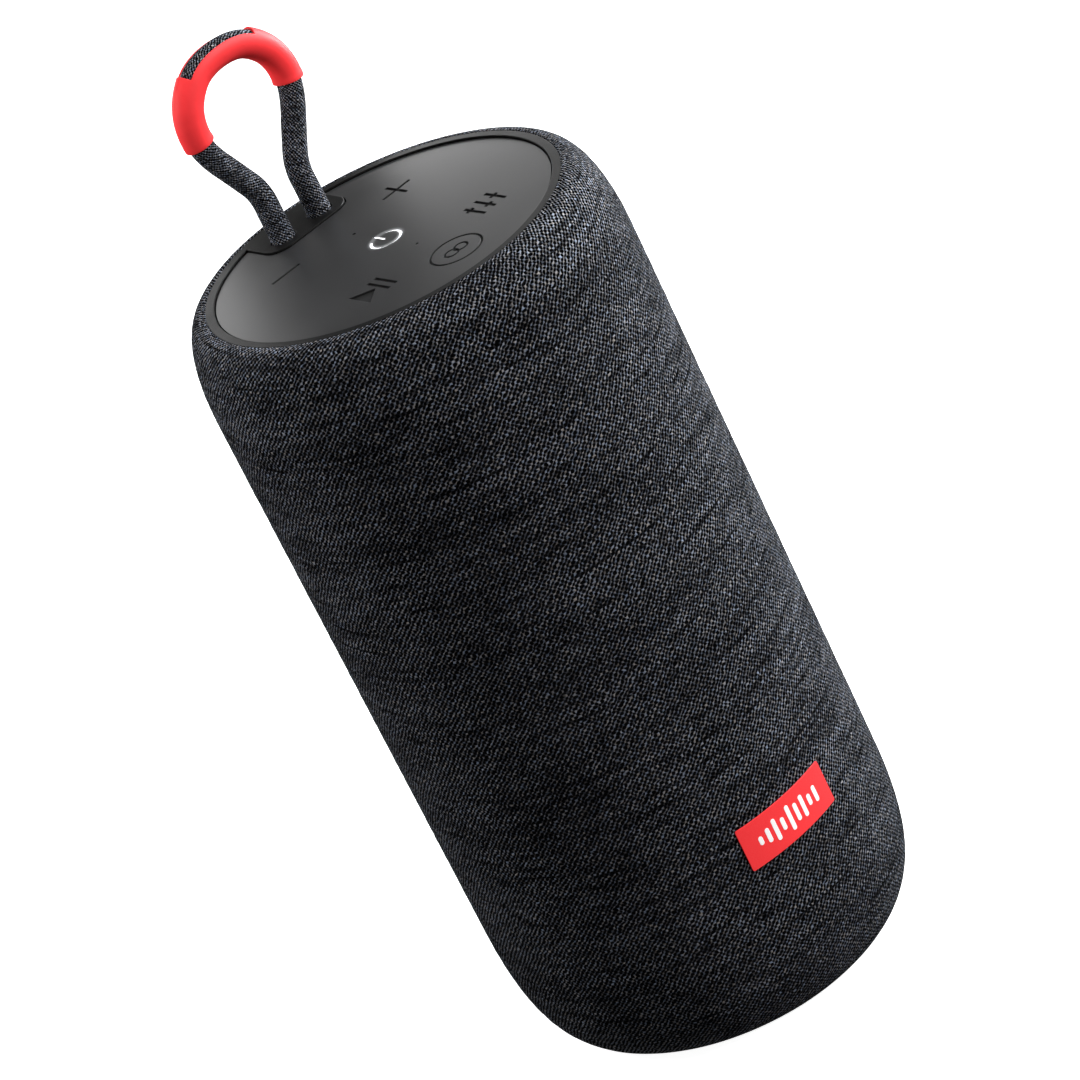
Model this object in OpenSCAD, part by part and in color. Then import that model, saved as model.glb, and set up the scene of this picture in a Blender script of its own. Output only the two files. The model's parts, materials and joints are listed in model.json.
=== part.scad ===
// Portable bluetooth speaker: a fabric-covered cylinder with a round key deck, a cord loop and a rear port flap.
// Origin at the centre of the base, +Z up, front (label side) towards -Y. Millimetres.

/* [Body] */
// Largest diameter over the fabric
body_d = 91; // [88:0.5:92]
// Height from the floor to the top ring
body_h = 180; // [178:1:186]
// Thickness of the fabric sleeve
fabric_t = 0.8; // [0.6:0.1:0.8]
// Height of the rounded shoulder under the top ring
shoulder_h = 21.5; // [20.5:0.5:22]
// Squareness of the shoulder curve
shoulder_n = 2.35; // [2.1:0.05:2.5]
// Height of the rounded lower edge
heel_h = 32; // [30:1:33]
// Squareness of the lower edge
heel_n = 2.6; // [2.6:0.1:3.2]
// Inner radius of the fabric hem under the base
hem_r = 33.2; // [33:0.1:35]
// Thickness of the rubber foot below the base
foot_lift = 0.8; // [0.6:0.1:1]

/* [Top deck] */
// Outer radius of the top ring
ring_r = 38.2; // [38:0.1:38.4]
// Radius of the key deck
deck_r = 36; // [35.8:0.1:36.2]
// How far the key deck lies below the top ring
deck_drop = 0.4; // [0.2:0.1:0.6]
// Radius of each key
key_r = 6.5; // [6:0.1:6.6]
// Gap round each key
key_gap = 0.3; // [0.2:0.05:0.4]
// Half width of the notch for the cord
notch_half_w = 10.4; // [9.6:0.1:11]
// Distance of the notch's inner edge from the axis
notch_y = 23.7; // [23:0.1:24.5]
// Corner radius of the notch
notch_corner_r = 4.3; // [3.5:0.1:4.6]

/* [Cord loop] */
// Diameter of the cord
cord_d = 5.2; // [4.6:0.1:5.2]
// Distance of the cord's feet from the axis, to the rear
cord_y = 28.5; // [28:0.1:29]
// Half the distance between the cord's feet
cord_x = 5; // [4.8:0.1:5.2]
// Outer diameter of the moulded grip
grip_d = 6.4; // [6:0.1:6.8]

/* [Label] */
// Width of the label
label_w = 24.4; // [20:0.1:28]
// Height of the label
label_h = 10.1; // [8:0.1:12]
// Height of the label's centre
label_z = 44.8; // [40:0.1:60]

/* [Ports] */
// Width of the port opening
port_w = 27.6; // [26:0.1:28]
// Height of the port opening
port_h = 13.2; // [12.8:0.1:13.6]
// Height of the port opening's centre
port_z = 33; // [32.8:0.1:33.4]

/* [Drivers] */
// Radius of the driver and radiator flanges
driver_r = 26; // [25:0.5:26]
// Height of the lower driver's axis
driver_low_z = 73; // [72:1:74]
// Height of the upper driver's axis
driver_high_z = 129; // [128:1:130]
// Distance of the front and rear baffles from the axis
baffle_y = 30; // [29.5:0.1:30]

/* [Battery] */
// Cell diameter
cell_d = 18.4; // [18:0.1:18.6]
// Cell length
cell_l = 65; // [64:0.5:65.5]

/* [Hidden] */
$fn = 96;

fit = 0.1;
body_r = body_d / 2;
liner_r = body_r - fabric_t - fit;
liner_t = 1.5;
wall = 2.2;
curve_steps = 12;

// Heights of the inner storeys, from the floor up
floor_z = 3.6;
cup_top_z = 42;
board_z = 29;
board_t = 1.6;
box_z0 = 44;
box_z1 = 158;
frame_z0 = box_z1 + 0.2;
frame_floor_z = 162;
tube_top_z = body_h - shoulder_h + 0.5;

// Top deck storeys
deck_z = body_h - deck_drop;
deck_t = 2.2;
ledge_z = body_h - 3.6;
key_board_z = 168;
key_board_t = 1.4;
plunger_z = 172.9;
key_travel = 0.4;

// Key places: x, y on the deck
minus_at = [-15.1, 14.6];
plus_at = [15.3, 14.4];
power_at = [0, -1.1];
play_at = [-15.4, -16.2];
mode_at = [14.9, -16.4];
pair_at = [0, -24.8];
KEYS = [minus_at, plus_at, power_at, play_at, mode_at, pair_at];
mic_at = [0, 9.9];
led_at = [0, -11.7];
key_post_at = [[-25, -3], [25, -3], [0, 16.5]];
frame_screw_at = [[-32, 14], [32, 14], [-30, -18], [30, -18]];
base_screw_at = [[-14, -23], [14, -23], [-14, 23], [14, 23]];
board_screw_at = [[-26, -24], [26, -24], [-26, 24]];

// Cord loop: x and height above the top ring, from one foot to the crown
cord_r = cord_d / 2;
grip_r = grip_d / 2;
pivot_z = body_h + cord_r + 0.3;
crown = [0, 40.3];
loop_half = [
    [cord_x, 6], [cord_x, 9], [5.6, 12], [7, 15], [8.8, 18.5], [10.6, 22], [11.8, 25.3], [12.2, 28.5],
    [11.8, 31.7], [10.6, 34.6], [8.6, 37.1], [6.1, 39], [3.2, 40]
];
grip_first = 7;
anchor_z = 170;
anchor_t = 1.5;
knot_r = 4;

// Drivers
cone_r = 17.5;
roll_r = 2.2;
roll_z = 0.2;
coil_r = 6.8;
gasket_t = 0.5;
opening_r = 22.5;
screw_circle_r = 24.2;
lead_x = 16;

shell_black = [0.07, 0.07, 0.08];
deck_grey = [0.25, 0.25, 0.26];
fabric_grey = [0.17, 0.18, 0.2];
red = [0.94, 0.23, 0.24];
steel = [0.72, 0.73, 0.75];
board_green = [0.06, 0.3, 0.16];
inner_grey = [0.16, 0.16, 0.17];

// ---------- shared shapes ----------

function power_curve(a, n) = pow(a, 2 / n);

// Shoulder of the body moved in by d, from the widest height up to the top ring
function shoulder_pts(d) = [for (i = [0:curve_steps])
    [ring_r + (body_r - d - ring_r) * power_curve(cos(90 * i / curve_steps), shoulder_n),
     body_h - shoulder_h + (shoulder_h - d) * power_curve(sin(90 * i / curve_steps), shoulder_n)]];

// Lower edge of the body moved in by d, from the hem up to the widest height
function heel_pts(d) = [for (i = [0:curve_steps])
    [hem_r + (body_r - d - hem_r) * power_curve(sin(90 * i / curve_steps), heel_n),
     foot_lift + heel_h - (heel_h - d) * power_curve(cos(90 * i / curve_steps), heel_n)]];

function reversed(pts) = [for (i = [len(pts) - 1:-1:0]) pts[i]];

module tube(r_out, r_in, z0, z1) {
    translate([0, 0, z0])
        difference() {
            cylinder(r = r_out, h = z1 - z0);
            translate([0, 0, -1]) cylinder(r = r_in, h = z1 - z0 + 2);
        }
}

module disc(r, z0, z1) {
    translate([0, 0, z0]) cylinder(r = r, h = z1 - z0);
}

module at_each(places) {
    for (p = places) translate([p[0], p[1], 0]) children();
}

// Flat rectangle with round corners, centred
module round_rect(w, h, r) {
    square([w - 2 * r, h], center = true);
    square([w, h - 2 * r], center = true);
    for (x = [-1, 1], y = [-1, 1]) translate([x * (w / 2 - r), y * (h / 2 - r)]) circle(r = r);
}

// A rounded block across the +Y (dir 1) or -Y (dir -1) side of the body
module side_block(w, h, r, z, dir) {
    translate([0, dir * 20, z])
        rotate([dir > 0 ? -90 : 90, 0, 0])
            linear_extrude(height = 40)
                round_rect(w, h, r);
}

// The body's curved wall between two radii, as wide and high as a rounded block
module wall_patch(r_out, r_in, w, h, r, z, dir) {
    intersection() {
        tube(r_out, r_in, z - h, z + h);
        side_block(w, h, r, z, dir);
    }
}

// Wire of straight stretches through a list of points, with a bead at each bend
module wire(pts, r) {
    last = len(pts) - 2;
    trim = 1.03 * r;
    for (i = [0:last]) {
        step = pts[i + 1] - pts[i];
        long = norm(step);
        low = i > 0 ? trim : 0;
        high = i < last ? long - trim : long;
        translate(pts[i])
            rotate([0, acos(step[2] / long), atan2(step[1], step[0])])
                translate([0, 0, low]) cylinder(r = r, h = high - low, $fn = 24);
    }
    for (i = [1:last]) translate(pts[i]) sphere(r = 1.5 * r, $fn = 24);
}

// Cross-head screw along +Z from its head's top at z = 0 downwards
module screw(head_r, head_h, shank_r, length) {
    difference() {
        translate([0, 0, -head_h]) cylinder(r = head_r, h = head_h);
        for (a = [0, 90]) rotate([0, 0, a]) cube([head_r * 1.1, head_r * 0.28, head_h], center = true);
    }
    translate([0, 0, -length]) cylinder(r = shank_r, h = length - head_h + 0.01);
}

// Places a shape made along +Z onto the front baffle, or the rear one
module on_front(z) { translate([0, -baffle_y, z]) rotate([90, 0, 0]) children(); }
module on_rear(z) { translate([0, baffle_y, z]) rotate([-90, 0, 0]) children(); }

// ---------- outer skin ----------

module fabric_sleeve() {
    color(fabric_grey)
        difference() {
            rotate_extrude()
                polygon(concat(heel_pts(0), shoulder_pts(0), reversed(shoulder_pts(fabric_t)),
                    reversed(heel_pts(fabric_t))));
            side_block(port_w + 4, port_h + 4, 3.2, port_z, 1);
        }
}

module grille_band(z0, z1) {
    slots = 24;
    translate([0, 0, z0])
        linear_extrude(height = z1 - z0)
            difference() {
                circle(r = liner_r);
                circle(r = liner_r - liner_t);
                for (i = [0:slots - 1]) rotate(i * 360 / slots) translate([liner_r, 0]) square([8, 6], center = true);
            }
}

module grille_tube() {
    rows = 6;
    rib = 4;
    pitch = (tube_top_z - cup_top_z) / rows;
    color(inner_grey) {
        for (i = [0:rows]) {
            z = cup_top_z + fit + i * (pitch - rib / rows - fit / rows);
            tube(liner_r, liner_r - liner_t, z, z + rib);
            if (i < rows) grille_band(z + rib - 0.01, z + pitch - rib / rows + 0.01);
        }
    }
}

module label() {
    color(red) wall_patch(body_r + 0.35, body_r + 0.02, label_w, label_h, 0.4, label_z, -1);
}

module label_mark() {
    bar_h = [2, 3.4, 5.2, 3, 6, 4.2, 5.2, 2.6, 3.8];
    bar_w = 1;
    pitch = 2;
    color("white")
        intersection() {
            tube(body_r + 0.5, body_r + 0.37, label_z - label_h, label_z + label_h);
            for (i = [0:len(bar_h) - 1])
                translate([(i - (len(bar_h) - 1) / 2) * pitch, 0, 0])
                    side_block(bar_w, bar_h[i], bar_w / 2 - 0.02, label_z, -1);
        }
}

// ---------- top ----------

module notch_2d(gap) {
    w = notch_half_w + gap;
    y0 = notch_y - gap;
    r = notch_corner_r;
    translate([-w, y0 + r]) square([2 * w, body_r]);
    translate([-w + r, y0]) square([2 * (w - r), body_r]);
    for (s = [-1, 1]) translate([s * (w - r), y0 + r]) circle(r = r);
}

// Slab that fills the notch out to radius r
module notch_plate(r, z0, z1) {
    translate([0, 0, z0])
        linear_extrude(height = z1 - z0)
            intersection() {
                circle(r = r);
                notch_2d(0);
            }
}

socket_r = cord_r + 0.2;
block_half_w = 13;
block_z0 = anchor_z + anchor_t + fit;
anchor_screw_x = 10.4;

module top_ring() {
    color(deck_grey)
        difference() {
            union() {
                tube(ring_r - fit, deck_r + 0.3, ledge_z + fit, body_h);
                notch_plate(deck_r + 1, ledge_z + fit, body_h);
                notch_plate(32.2, ledge_z - 0.2, ledge_z + fit + 0.01);
                translate([-block_half_w, notch_y + 0.5, block_z0])
                    cube([2 * block_half_w, 9, ledge_z - block_z0 - fit]);
            }
            for (s = [-1, 1]) {
                translate([s * cord_x, cord_y, block_z0 - 1]) cylinder(r = socket_r, h = 20);
                translate([s * anchor_screw_x, cord_y, block_z0 - 1]) cylinder(r = 0.9, h = 5);
            }
        }
}

module top_frame() {
    color(inner_grey)
        difference() {
            union() {
                rotate_extrude()
                    polygon(concat(
                        [[39, frame_z0], [liner_r - liner_t - fit, frame_z0],
                         [liner_r - liner_t - fit, tube_top_z + 4.2], [43.4, tube_top_z + 4.2]],
                        [for (p = shoulder_pts(fabric_t + fit)) if (p[1] > tube_top_z + 5) p],
                        [[ring_r + fit, ledge_z], [32.4, ledge_z], [32.4, ledge_z - 2], [39, ledge_z - 5]]));
                disc(39.5, frame_floor_z, frame_floor_z + 2);
                at_each(key_post_at) disc(3, frame_floor_z + 1, key_board_z - fit);
            }
            translate([-block_half_w - 0.4, notch_y, ledge_z - 6]) cube([2 * block_half_w + 0.8, 10.4, 10]);
            translate([23.4, 26, frame_z0 - 1]) cube([6.4, 5.2, 10.5]);
            translate([18, 20, frame_floor_z - 1]) cube([10, 12, 4]);
            at_each(frame_screw_at) disc(1.8, frame_floor_z - 1, frame_floor_z + 4);
            at_each(key_post_at) disc(1, frame_floor_z + 2.4, key_board_z + 1);
        }
}

module frame_screws() {
    color(steel) at_each(frame_screw_at) translate([0, 0, frame_floor_z + 4.1]) screw(3, 2, 1.5, 12);
}

module key_deck() {
    color(deck_grey)
        difference() {
            union() {
                disc(deck_r, deck_z - deck_t, deck_z);
                tube(deck_r, 32.5, ledge_z + fit, deck_z - deck_t + 0.01);
            }
            translate([0, 0, ledge_z - 1]) linear_extrude(height = 6) notch_2d(0.25);
            at_each(KEYS) disc(key_r + key_gap, ledge_z - 1, body_h + 1);
            at_each([mic_at, led_at]) disc(0.45, ledge_z - 1, body_h + 1);
        }
}

// Key cap with its flange and plunger. The icon is cut into its top.
module key(place) {
    flange_z = deck_z - deck_t - 0.6;
    color(deck_grey)
        translate([place[0], place[1], 0]) {
            difference() {
                disc(key_r, flange_z + 0.3, deck_z);
                translate([0, 0, deck_z - icon_depth]) linear_extrude(height = 1) children();
            }
            disc(key_r + 0.8, flange_z - 0.2, flange_z + 0.4);
            disc(1.6, plunger_z, flange_z);
        }
}

stroke = 0.8;
fine_stroke = 0.55;
icon_depth = 0.4;

module key_minus() { key(minus_at) square([7.4, stroke], center = true); }

module key_plus() {
    key(plus_at) {
        square([7.4, stroke], center = true);
        square([stroke, 7.4], center = true);
    }
}

module key_play() {
    key(play_at) {
        polygon([[-3.7, -3.7], [-3.7, 3.7], [0.6, 0]]);
        for (x = [1.4, 3.3]) translate([x, 0]) square([stroke, 7.4], center = true);
    }
}

// Three sliders, for the sound mode
module key_mode() {
    slider_y = [1.6, -1.2, 0.6];
    key(mode_at)
        for (i = [0:2])
            translate([(i - 1) * 2.8, 0]) {
                square([stroke, 7], center = true);
                translate([0, slider_y[i]]) square([1.9, 1], center = true);
            }
}

// Two links in a circle, for pairing a second speaker
module key_pair() {
    link_r = 1.7;
    key(pair_at) {
        difference() {
            circle(r = 5.7);
            circle(r = 5.7 - fine_stroke);
        }
        for (s = [-1, 1])
            translate([s * 1.2, 0])
                difference() {
                    circle(r = link_r);
                    circle(r = link_r - fine_stroke);
                }
    }
}

module power_symbol_2d(grow) {
    ring_mid = 3.2;
    half = fine_stroke / 2 + grow;
    difference() {
        circle(r = ring_mid + half);
        circle(r = ring_mid - half);
        translate([0, ring_mid]) square([3.4 - 2 * grow, 3], center = true);
    }
    translate([0, 2.2]) square([2 * half, 4 + 2 * grow], center = true);
}

module key_power() { key(power_at) power_symbol_2d(0.05); }

module power_light() {
    color("white")
        translate([power_at[0], power_at[1], deck_z - icon_depth + 0.01])
            linear_extrude(height = 0.16)
                power_symbol_2d(0);
}

module key_board() {
    color(board_green)
        translate([0, 0, key_board_z])
            linear_extrude(height = key_board_t)
                difference() {
                    circle(r = 30.5);
                    translate([-15, 21]) square([30, 20]);
                    for (p = key_post_at) translate(p) circle(r = 1.2);
                }
}

module key_board_screws() {
    color(steel) at_each(key_post_at) translate([0, 0, key_board_z + key_board_t + 1.3]) screw(2.2, 1.2, 0.95, 6);
}

// Rubber mat with a dome under each key
module key_mat() {
    mat_z = key_board_z + key_board_t + 0.05;
    color([0.5, 0.5, 0.52]) {
        difference() {
            translate([0, 0, mat_z])
                linear_extrude(height = 0.8)
                    difference() {
                        circle(r = 30);
                        translate([-15, 20.5]) square([30, 20]);
                        for (p = key_post_at) translate(p) circle(r = 2.6);
                        for (p = [mic_at, led_at]) translate(p) circle(r = 2.2);
                    }
        }
        at_each(KEYS) {
            translate([0, 0, mat_z + 0.7]) cylinder(r1 = 4, r2 = 2.6, h = 1.6);
            disc(2.4, mat_z + 2, plunger_z - 0.05);
        }
    }
}

module microphone() {
    color(steel)
        translate([mic_at[0], mic_at[1], key_board_z + key_board_t + 0.6]) cube([2.8, 1.9, 1.1], center = true);
}

module status_led() {
    color("white") {
        translate([led_at[0], led_at[1], key_board_z + key_board_t + 0.45]) cube([2, 1.2, 0.8], center = true);
        translate([led_at[0], led_at[1], key_board_z + key_board_t + 0.8])
            cylinder(r = 0.4, h = deck_z - 0.1 - key_board_z - key_board_t - 0.8);
    }
}

// ---------- cord loop ----------

loop_top = concat(loop_half, [crown], [for (p = reversed(loop_half)) [-p[0], p[1]]]);
loop_route = [for (p = loop_top) [p[0], cord_y, body_h + p[1]]];

// Cap rings that close a tube's end as half a ball round its foot
cap_angles = [20, 45, 70, 90];
foot_a = [cord_x, cord_y, pivot_z];
foot_b = [-cord_x, cord_y, pivot_z];
function cap_ring(foot, a, r) = [foot - [0, 0, r * cos(a)], r * sin(a)];

function loop_rings(r) = concat(
    [for (a = cap_angles) cap_ring(foot_a, a, r)],
    [for (p = loop_route) [p, r]],
    [for (a = reversed(cap_angles)) cap_ring(foot_b, a, r)]);

// A tube through rings, each a centre and a radius, that all lie in one upright plane
module swept_tube(rings, sides) {
    n = len(rings);
    centre = [for (q = rings) q[0]];
    along = [for (i = [0:n - 1]) let (d = centre[min(i + 1, n - 1)] - centre[max(i - 1, 0)]) d / norm(d)];
    pts = [for (i = [0:n - 1], k = [0:sides - 1])
        let (a = 360 * k / sides, side = cross(along[i], [0, 1, 0]))
        centre[i] + rings[i][1] * (cos(a) * side + sin(a) * [0, 1, 0])];
    skin = [for (i = [0:n - 2], k = [0:sides - 1])
        let (m = (k + 1) % sides)
        [i * sides + k, i * sides + m, (i + 1) * sides + m, (i + 1) * sides + k]];
    ends = [[for (k = [sides - 1:-1:0]) k], [for (k = [0:sides - 1]) (n - 1) * sides + k]];
    polyhedron(points = pts, faces = concat(skin, ends), convexity = 6);
}

module cord_loop() {
    color(fabric_grey) swept_tube(loop_rings(cord_r), 12);
}

module loop_grip() {
    last = len(loop_route) - 1 - grip_first;
    on_grip = [for (i = [grip_first:last]) loop_route[i]];
    start = on_grip[0] - [0.35, 0, 1.6];
    finish = on_grip[len(on_grip) - 1] - [-0.35, 0, 1.6];
    grip_route = concat([start], on_grip, [finish]);
    arch_z = body_h + 28.3;
    color(red)
        difference() {
            swept_tube([for (p = grip_route) [p, grip_r]], 12);
            swept_tube(loop_rings(cord_r + 0.12), 12);
            difference() {
                translate([-7.5, cord_y - 5, arch_z + 2]) cube([15, 10, 20]);
                translate([0, cord_y, arch_z]) rotate([90, 0, 0]) cylinder(r = 14.1, h = 12, center = true, $fn = 48);
            }
        }
}

module cord_ends() {
    color(fabric_grey)
        for (s = [-1, 1]) translate([s * cord_x, cord_y, 0]) {
            disc(cord_r, anchor_z - 0.5, body_h - 0.05);
            disc(knot_r, anchor_z - 4.6, anchor_z - fit);
        }
}

module anchor_plate() {
    color(steel)
        translate([0, cord_y, anchor_z])
            linear_extrude(height = anchor_t)
                difference() {
                    square([2 * block_half_w - 0.4, 8], center = true);
                    for (s = [-1, 1]) {
                        translate([s * cord_x, 0]) circle(r = socket_r);
                        translate([s * anchor_screw_x, 0]) circle(r = 1.1);
                    }
                }
}

module anchor_screws() {
    color(steel)
        for (s = [-1, 1])
            translate([s * anchor_screw_x, cord_y, anchor_z - 1.3]) rotate([180, 0, 0]) screw(1.4, 1.2, 0.85, 6);
}

// ---------- base ----------

module base_cup() {
    boss_r = 3.4;
    color(inner_grey)
        difference() {
            union() {
                rotate_extrude()
                    polygon(concat(
                        [[0, foot_lift + 1], [31, foot_lift + 1], [31, foot_lift], [hem_r - fit, foot_lift],
                         [hem_r - fit, foot_lift + fabric_t + 0.25]],
                        [for (p = heel_pts(fabric_t + fit)) if (p[0] > hem_r + 1.5) p],
                        [[liner_r, cup_top_z], [liner_r - wall, cup_top_z], [42, 18], [40, 9], [36, floor_z], [0, floor_z]]));
                at_each(base_screw_at) disc(boss_r, foot_lift + 2, box_z0 - fit);
                at_each(board_screw_at) disc(2.6, floor_z - 0.5, board_z - fit);
            }
            side_block(port_w + 2.2, port_h + 2.2, 2.6, port_z, 1);
            at_each(base_screw_at) {
                disc(3, foot_lift, foot_lift + 4.2);
                disc(1.8, foot_lift, box_z0 + 1);
            }
            at_each(board_screw_at) disc(1, board_z - 10, board_z + 1);
        }
}

module foot_pad() {
    grooves = [10, 17, 24];
    color(shell_black)
        difference() {
            disc(30.9, 0, foot_lift + 0.95);
            for (g = grooves) tube(g + 0.8, g, -1, 0.4);
        }
}

module base_screws() {
    color(steel)
        at_each(base_screw_at)
            translate([0, 0, foot_lift + 1.3]) rotate([180, 0, 0]) screw(2.8, 2.4, 1.5, 50);
}

// ---------- port ----------

port_back_y = 37;
usb_x = -6;
audio_x = 7;
usb_z = board_z + board_t + 1.7;
audio_z = board_z + board_t + 2.8;

module port_bezel() {
    pocket_w = port_w + 2;
    pocket_h = port_h + 2;
    color(shell_black)
        difference() {
            union() {
                wall_patch(body_r + 0.3, liner_r + 0.05, port_w + 3.8, port_h + 3.8, 3.1, port_z, 1);
                intersection() {
                    disc(liner_r + 0.5, port_z - 12, port_z + 12);
                    translate([0, port_back_y - 20, 0]) side_block(pocket_w, pocket_h, 2.5, port_z, 1);
                }
            }
            translate([0, port_back_y + 1.2 - 20, 0]) side_block(port_w, port_h, 1.6, port_z, 1);
            translate([usb_x, 0, 0]) side_block(9.4, 3.7, 1.7, usb_z, 1);
            translate([audio_x, 0, audio_z]) rotate([-90, 0, 0]) cylinder(r = 2.9, h = 60);
        }
}

hinge_y = body_r;
hinge_z = port_z - port_h / 2 + 1;

// Rubber flap with a raised pull ridge near its upper edge
module port_cover() {
    ridge_z = port_z + port_h / 2 - 2;
    color([0.1, 0.1, 0.11])
        union() {
            wall_patch(body_r + 0.3, liner_r, port_w - 0.6, port_h - 0.6, 1.4, port_z, 1);
            intersection() {
                tube(body_r + 0.5, body_r - 0.2, ridge_z - 2, ridge_z + 2);
                side_block(9, 1.2, 0.58, ridge_z, 1);
            }
        }
}

module usb_c_socket() {
    depth = 7.2;
    color(steel)
        translate([usb_x, port_back_y + 1.1 - depth, usb_z])
            rotate([-90, 0, 0]) {
                difference() {
                    linear_extrude(height = depth) round_rect(8.9, 3.2, 1.5);
                    translate([0, 0, 1]) linear_extrude(height = depth) round_rect(8.3, 2.6, 1.25);
                }
                translate([0, 0, depth / 2]) cube([6.6, 0.7, depth - 1], center = true);
            }
}

module audio_socket() {
    depth = 12;
    color(shell_black)
        translate([audio_x, port_back_y + 1.1 - depth, audio_z])
            rotate([-90, 0, 0])
                difference() {
                    union() {
                        translate([-3.2, -2.7, 0]) cube([6.4, 5.4, depth - 1.3]);
                        cylinder(r = 2.65, h = depth);
                    }
                    translate([0, 0, 1.5]) cylinder(r = 1.8, h = depth);
                }
}

// ---------- acoustic enclosure ----------

enclosure_boss_at = [for (x = [-35.4, 35.4], z = [50, 101, 152]) [x, z]];

// One half of the enclosure. dir is -1 for the driver side and 1 for the radiator side.
module enclosure_half(dir, hole_r) {
    split = 0.45;
    big = 100;
    difference() {
        union() {
            difference() {
                disc(liner_r - liner_t - fit, box_z0, box_z1);
                intersection() {
                    disc(liner_r - liner_t - fit - wall, box_z0 + wall, box_z1 - wall);
                    translate([-big / 2, -baffle_y + 2.5, 0]) cube([big, 2 * baffle_y - 5, 300]);
                }
            }
            intersection() {
                disc(liner_r - liner_t - 1, box_z0, box_z1);
                for (b = enclosure_boss_at)
                    translate([b[0], 0, b[1]]) rotate([90, 0, 0]) cylinder(r = 3.4, h = 42, center = true);
            }
            at_each(base_screw_at) disc(3.4, box_z0 + 1, box_z0 + 12);
            at_each(frame_screw_at) disc(3.4, box_z1 - 12, box_z1 - 1);
        }
        translate([-big / 2, dir > 0 ? split - big : -split, 0]) cube([big, big, 300]);
        translate([-big / 2, dir > 0 ? baffle_y : -baffle_y - big, 0]) cube([big, big, 300]);
        for (z = [driver_low_z, driver_high_z])
            translate([0, 0, z]) rotate([dir > 0 ? -90 : 90, 0, 0]) cylinder(r = hole_r, h = 60);
        for (b = enclosure_boss_at)
            translate([b[0], 0, b[1]]) rotate([90, 0, 0]) {
                cylinder(r = 1.2, h = 24, center = true);
                translate([0, 0, 12]) cylinder(r = 3, h = 20);
                cylinder(r = 1.6, h = 13);
            }
        at_each(base_screw_at) disc(1.6, box_z0 - 1, box_z0 + 10);
        at_each(frame_screw_at) disc(1.6, box_z1 - 10, box_z1 + 1);
        for (z = [driver_low_z, driver_high_z])
            translate([0, dir * baffle_y, z]) rotate([dir > 0 ? -90 : 90, 0, 0]) flange_holes(4, 0.75, -2.2, 3);
        for (x = [-lead_x, lead_x]) translate([x, 4, box_z0 - 1]) cylinder(r = 1.1, h = 5);
    }
}

module enclosure_front() { color(inner_grey) enclosure_half(-1, opening_r); }

module enclosure_rear() { color(inner_grey) enclosure_half(1, opening_r); }

module enclosure_gasket() {
    r = liner_r - liner_t - fit;
    color([0.3, 0.3, 0.3])
        rotate([90, 0, 0])
            linear_extrude(height = 0.7, center = true)
                difference() {
                    translate([-r, box_z0]) square([2 * r, box_z1 - box_z0]);
                    translate([-r + 1.6, box_z0 + 1.6]) square([2 * r - 3.2, box_z1 - box_z0 - 3.2]);
                }
}

module enclosure_screws() {
    color(steel)
        for (b = enclosure_boss_at)
            translate([b[0], -12.2 - 1.6, b[1]]) rotate([90, 0, 0]) screw(2.6, 1.6, 1.1, 24);
}

// ---------- drivers, along +Z from the baffle face ----------

module flange_screws(count) {
    for (i = [0:count - 1])
        rotate([0, 0, 45 + i * 360 / count])
            translate([screw_circle_r, 0, gasket_t + 2.6]) screw(1.5, 1, 0.7, 5);
}

module flange_holes(count, r = 0.9, z = -1, h = 5) {
    for (i = [0:count - 1])
        rotate([0, 0, 45 + i * 360 / count]) translate([screw_circle_r, 0, z]) cylinder(r = r, h = h);
}

module driver_frame() {
    difference() {
        rotate_extrude()
            polygon([[22, gasket_t + 1.5], [driver_r, gasket_t + 1.5], [driver_r, gasket_t], [22.4, gasket_t],
                [22.4, -1], [14.6, -12], [14.6, -13.4], [8.2, -13.4], [8.2, -11.8], [13.4, -11.8],
                [20.6, -1.2], [20.6, roll_z], [22, roll_z]]);
        for (a = [0:60:120]) rotate([0, 0, a]) translate([-30, -4, -11]) cube([60, 8, 8.5]);
        flange_holes(4);
    }
}

module driver_frames() {
    color([0.2, 0.2, 0.2])
        for (z = [driver_low_z, driver_high_z]) on_front(z) driver_frame();
}

module driver_magnets() {
    color([0.4, 0.4, 0.42])
        for (z = [driver_low_z, driver_high_z])
            on_front(z) {
                tube(13, coil_r + 0.6, -22, -13.5);
                disc(13, -24, -21.9);
                disc(coil_r - 0.9, -22, -14);
            }
}

module driver_gaskets() {
    color(shell_black)
        for (z = [driver_low_z, driver_high_z]) {
            on_front(z) difference() { tube(driver_r, opening_r, 0.03, gasket_t - 0.03); flange_holes(4); }
            on_rear(z) difference() { tube(driver_r, opening_r, 0.03, gasket_t - 0.03); flange_holes(4); }
        }
}

module driver_screws() {
    color(steel) for (z = [driver_low_z, driver_high_z]) on_front(z) flange_screws(4);
}

module radiator_screws() {
    color(steel) for (z = [driver_low_z, driver_high_z]) on_rear(z) flange_screws(4);
}

// Paper cone with a dust cap and the voice coil's former
module cone() {
    t = 0.5;
    rotate_extrude()
        polygon([[0, -5], [2.5, -5.2], [5, -6], [coil_r - 0.2, -7.4], [cone_r, 0.4], [cone_r, 0.4 + t],
            [coil_r - 0.3, -7.4 + 0.9], [5, -6 + t], [2.5, -5.2 + t], [0, -5 + t]]);
    tube(coil_r, coil_r - 0.4, -17, -6.9);
}

module cone_lower() { color([0.12, 0.12, 0.13]) on_front(driver_low_z) cone(); }
module cone_upper() { color([0.12, 0.12, 0.13]) on_front(driver_high_z) cone(); }

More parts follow.
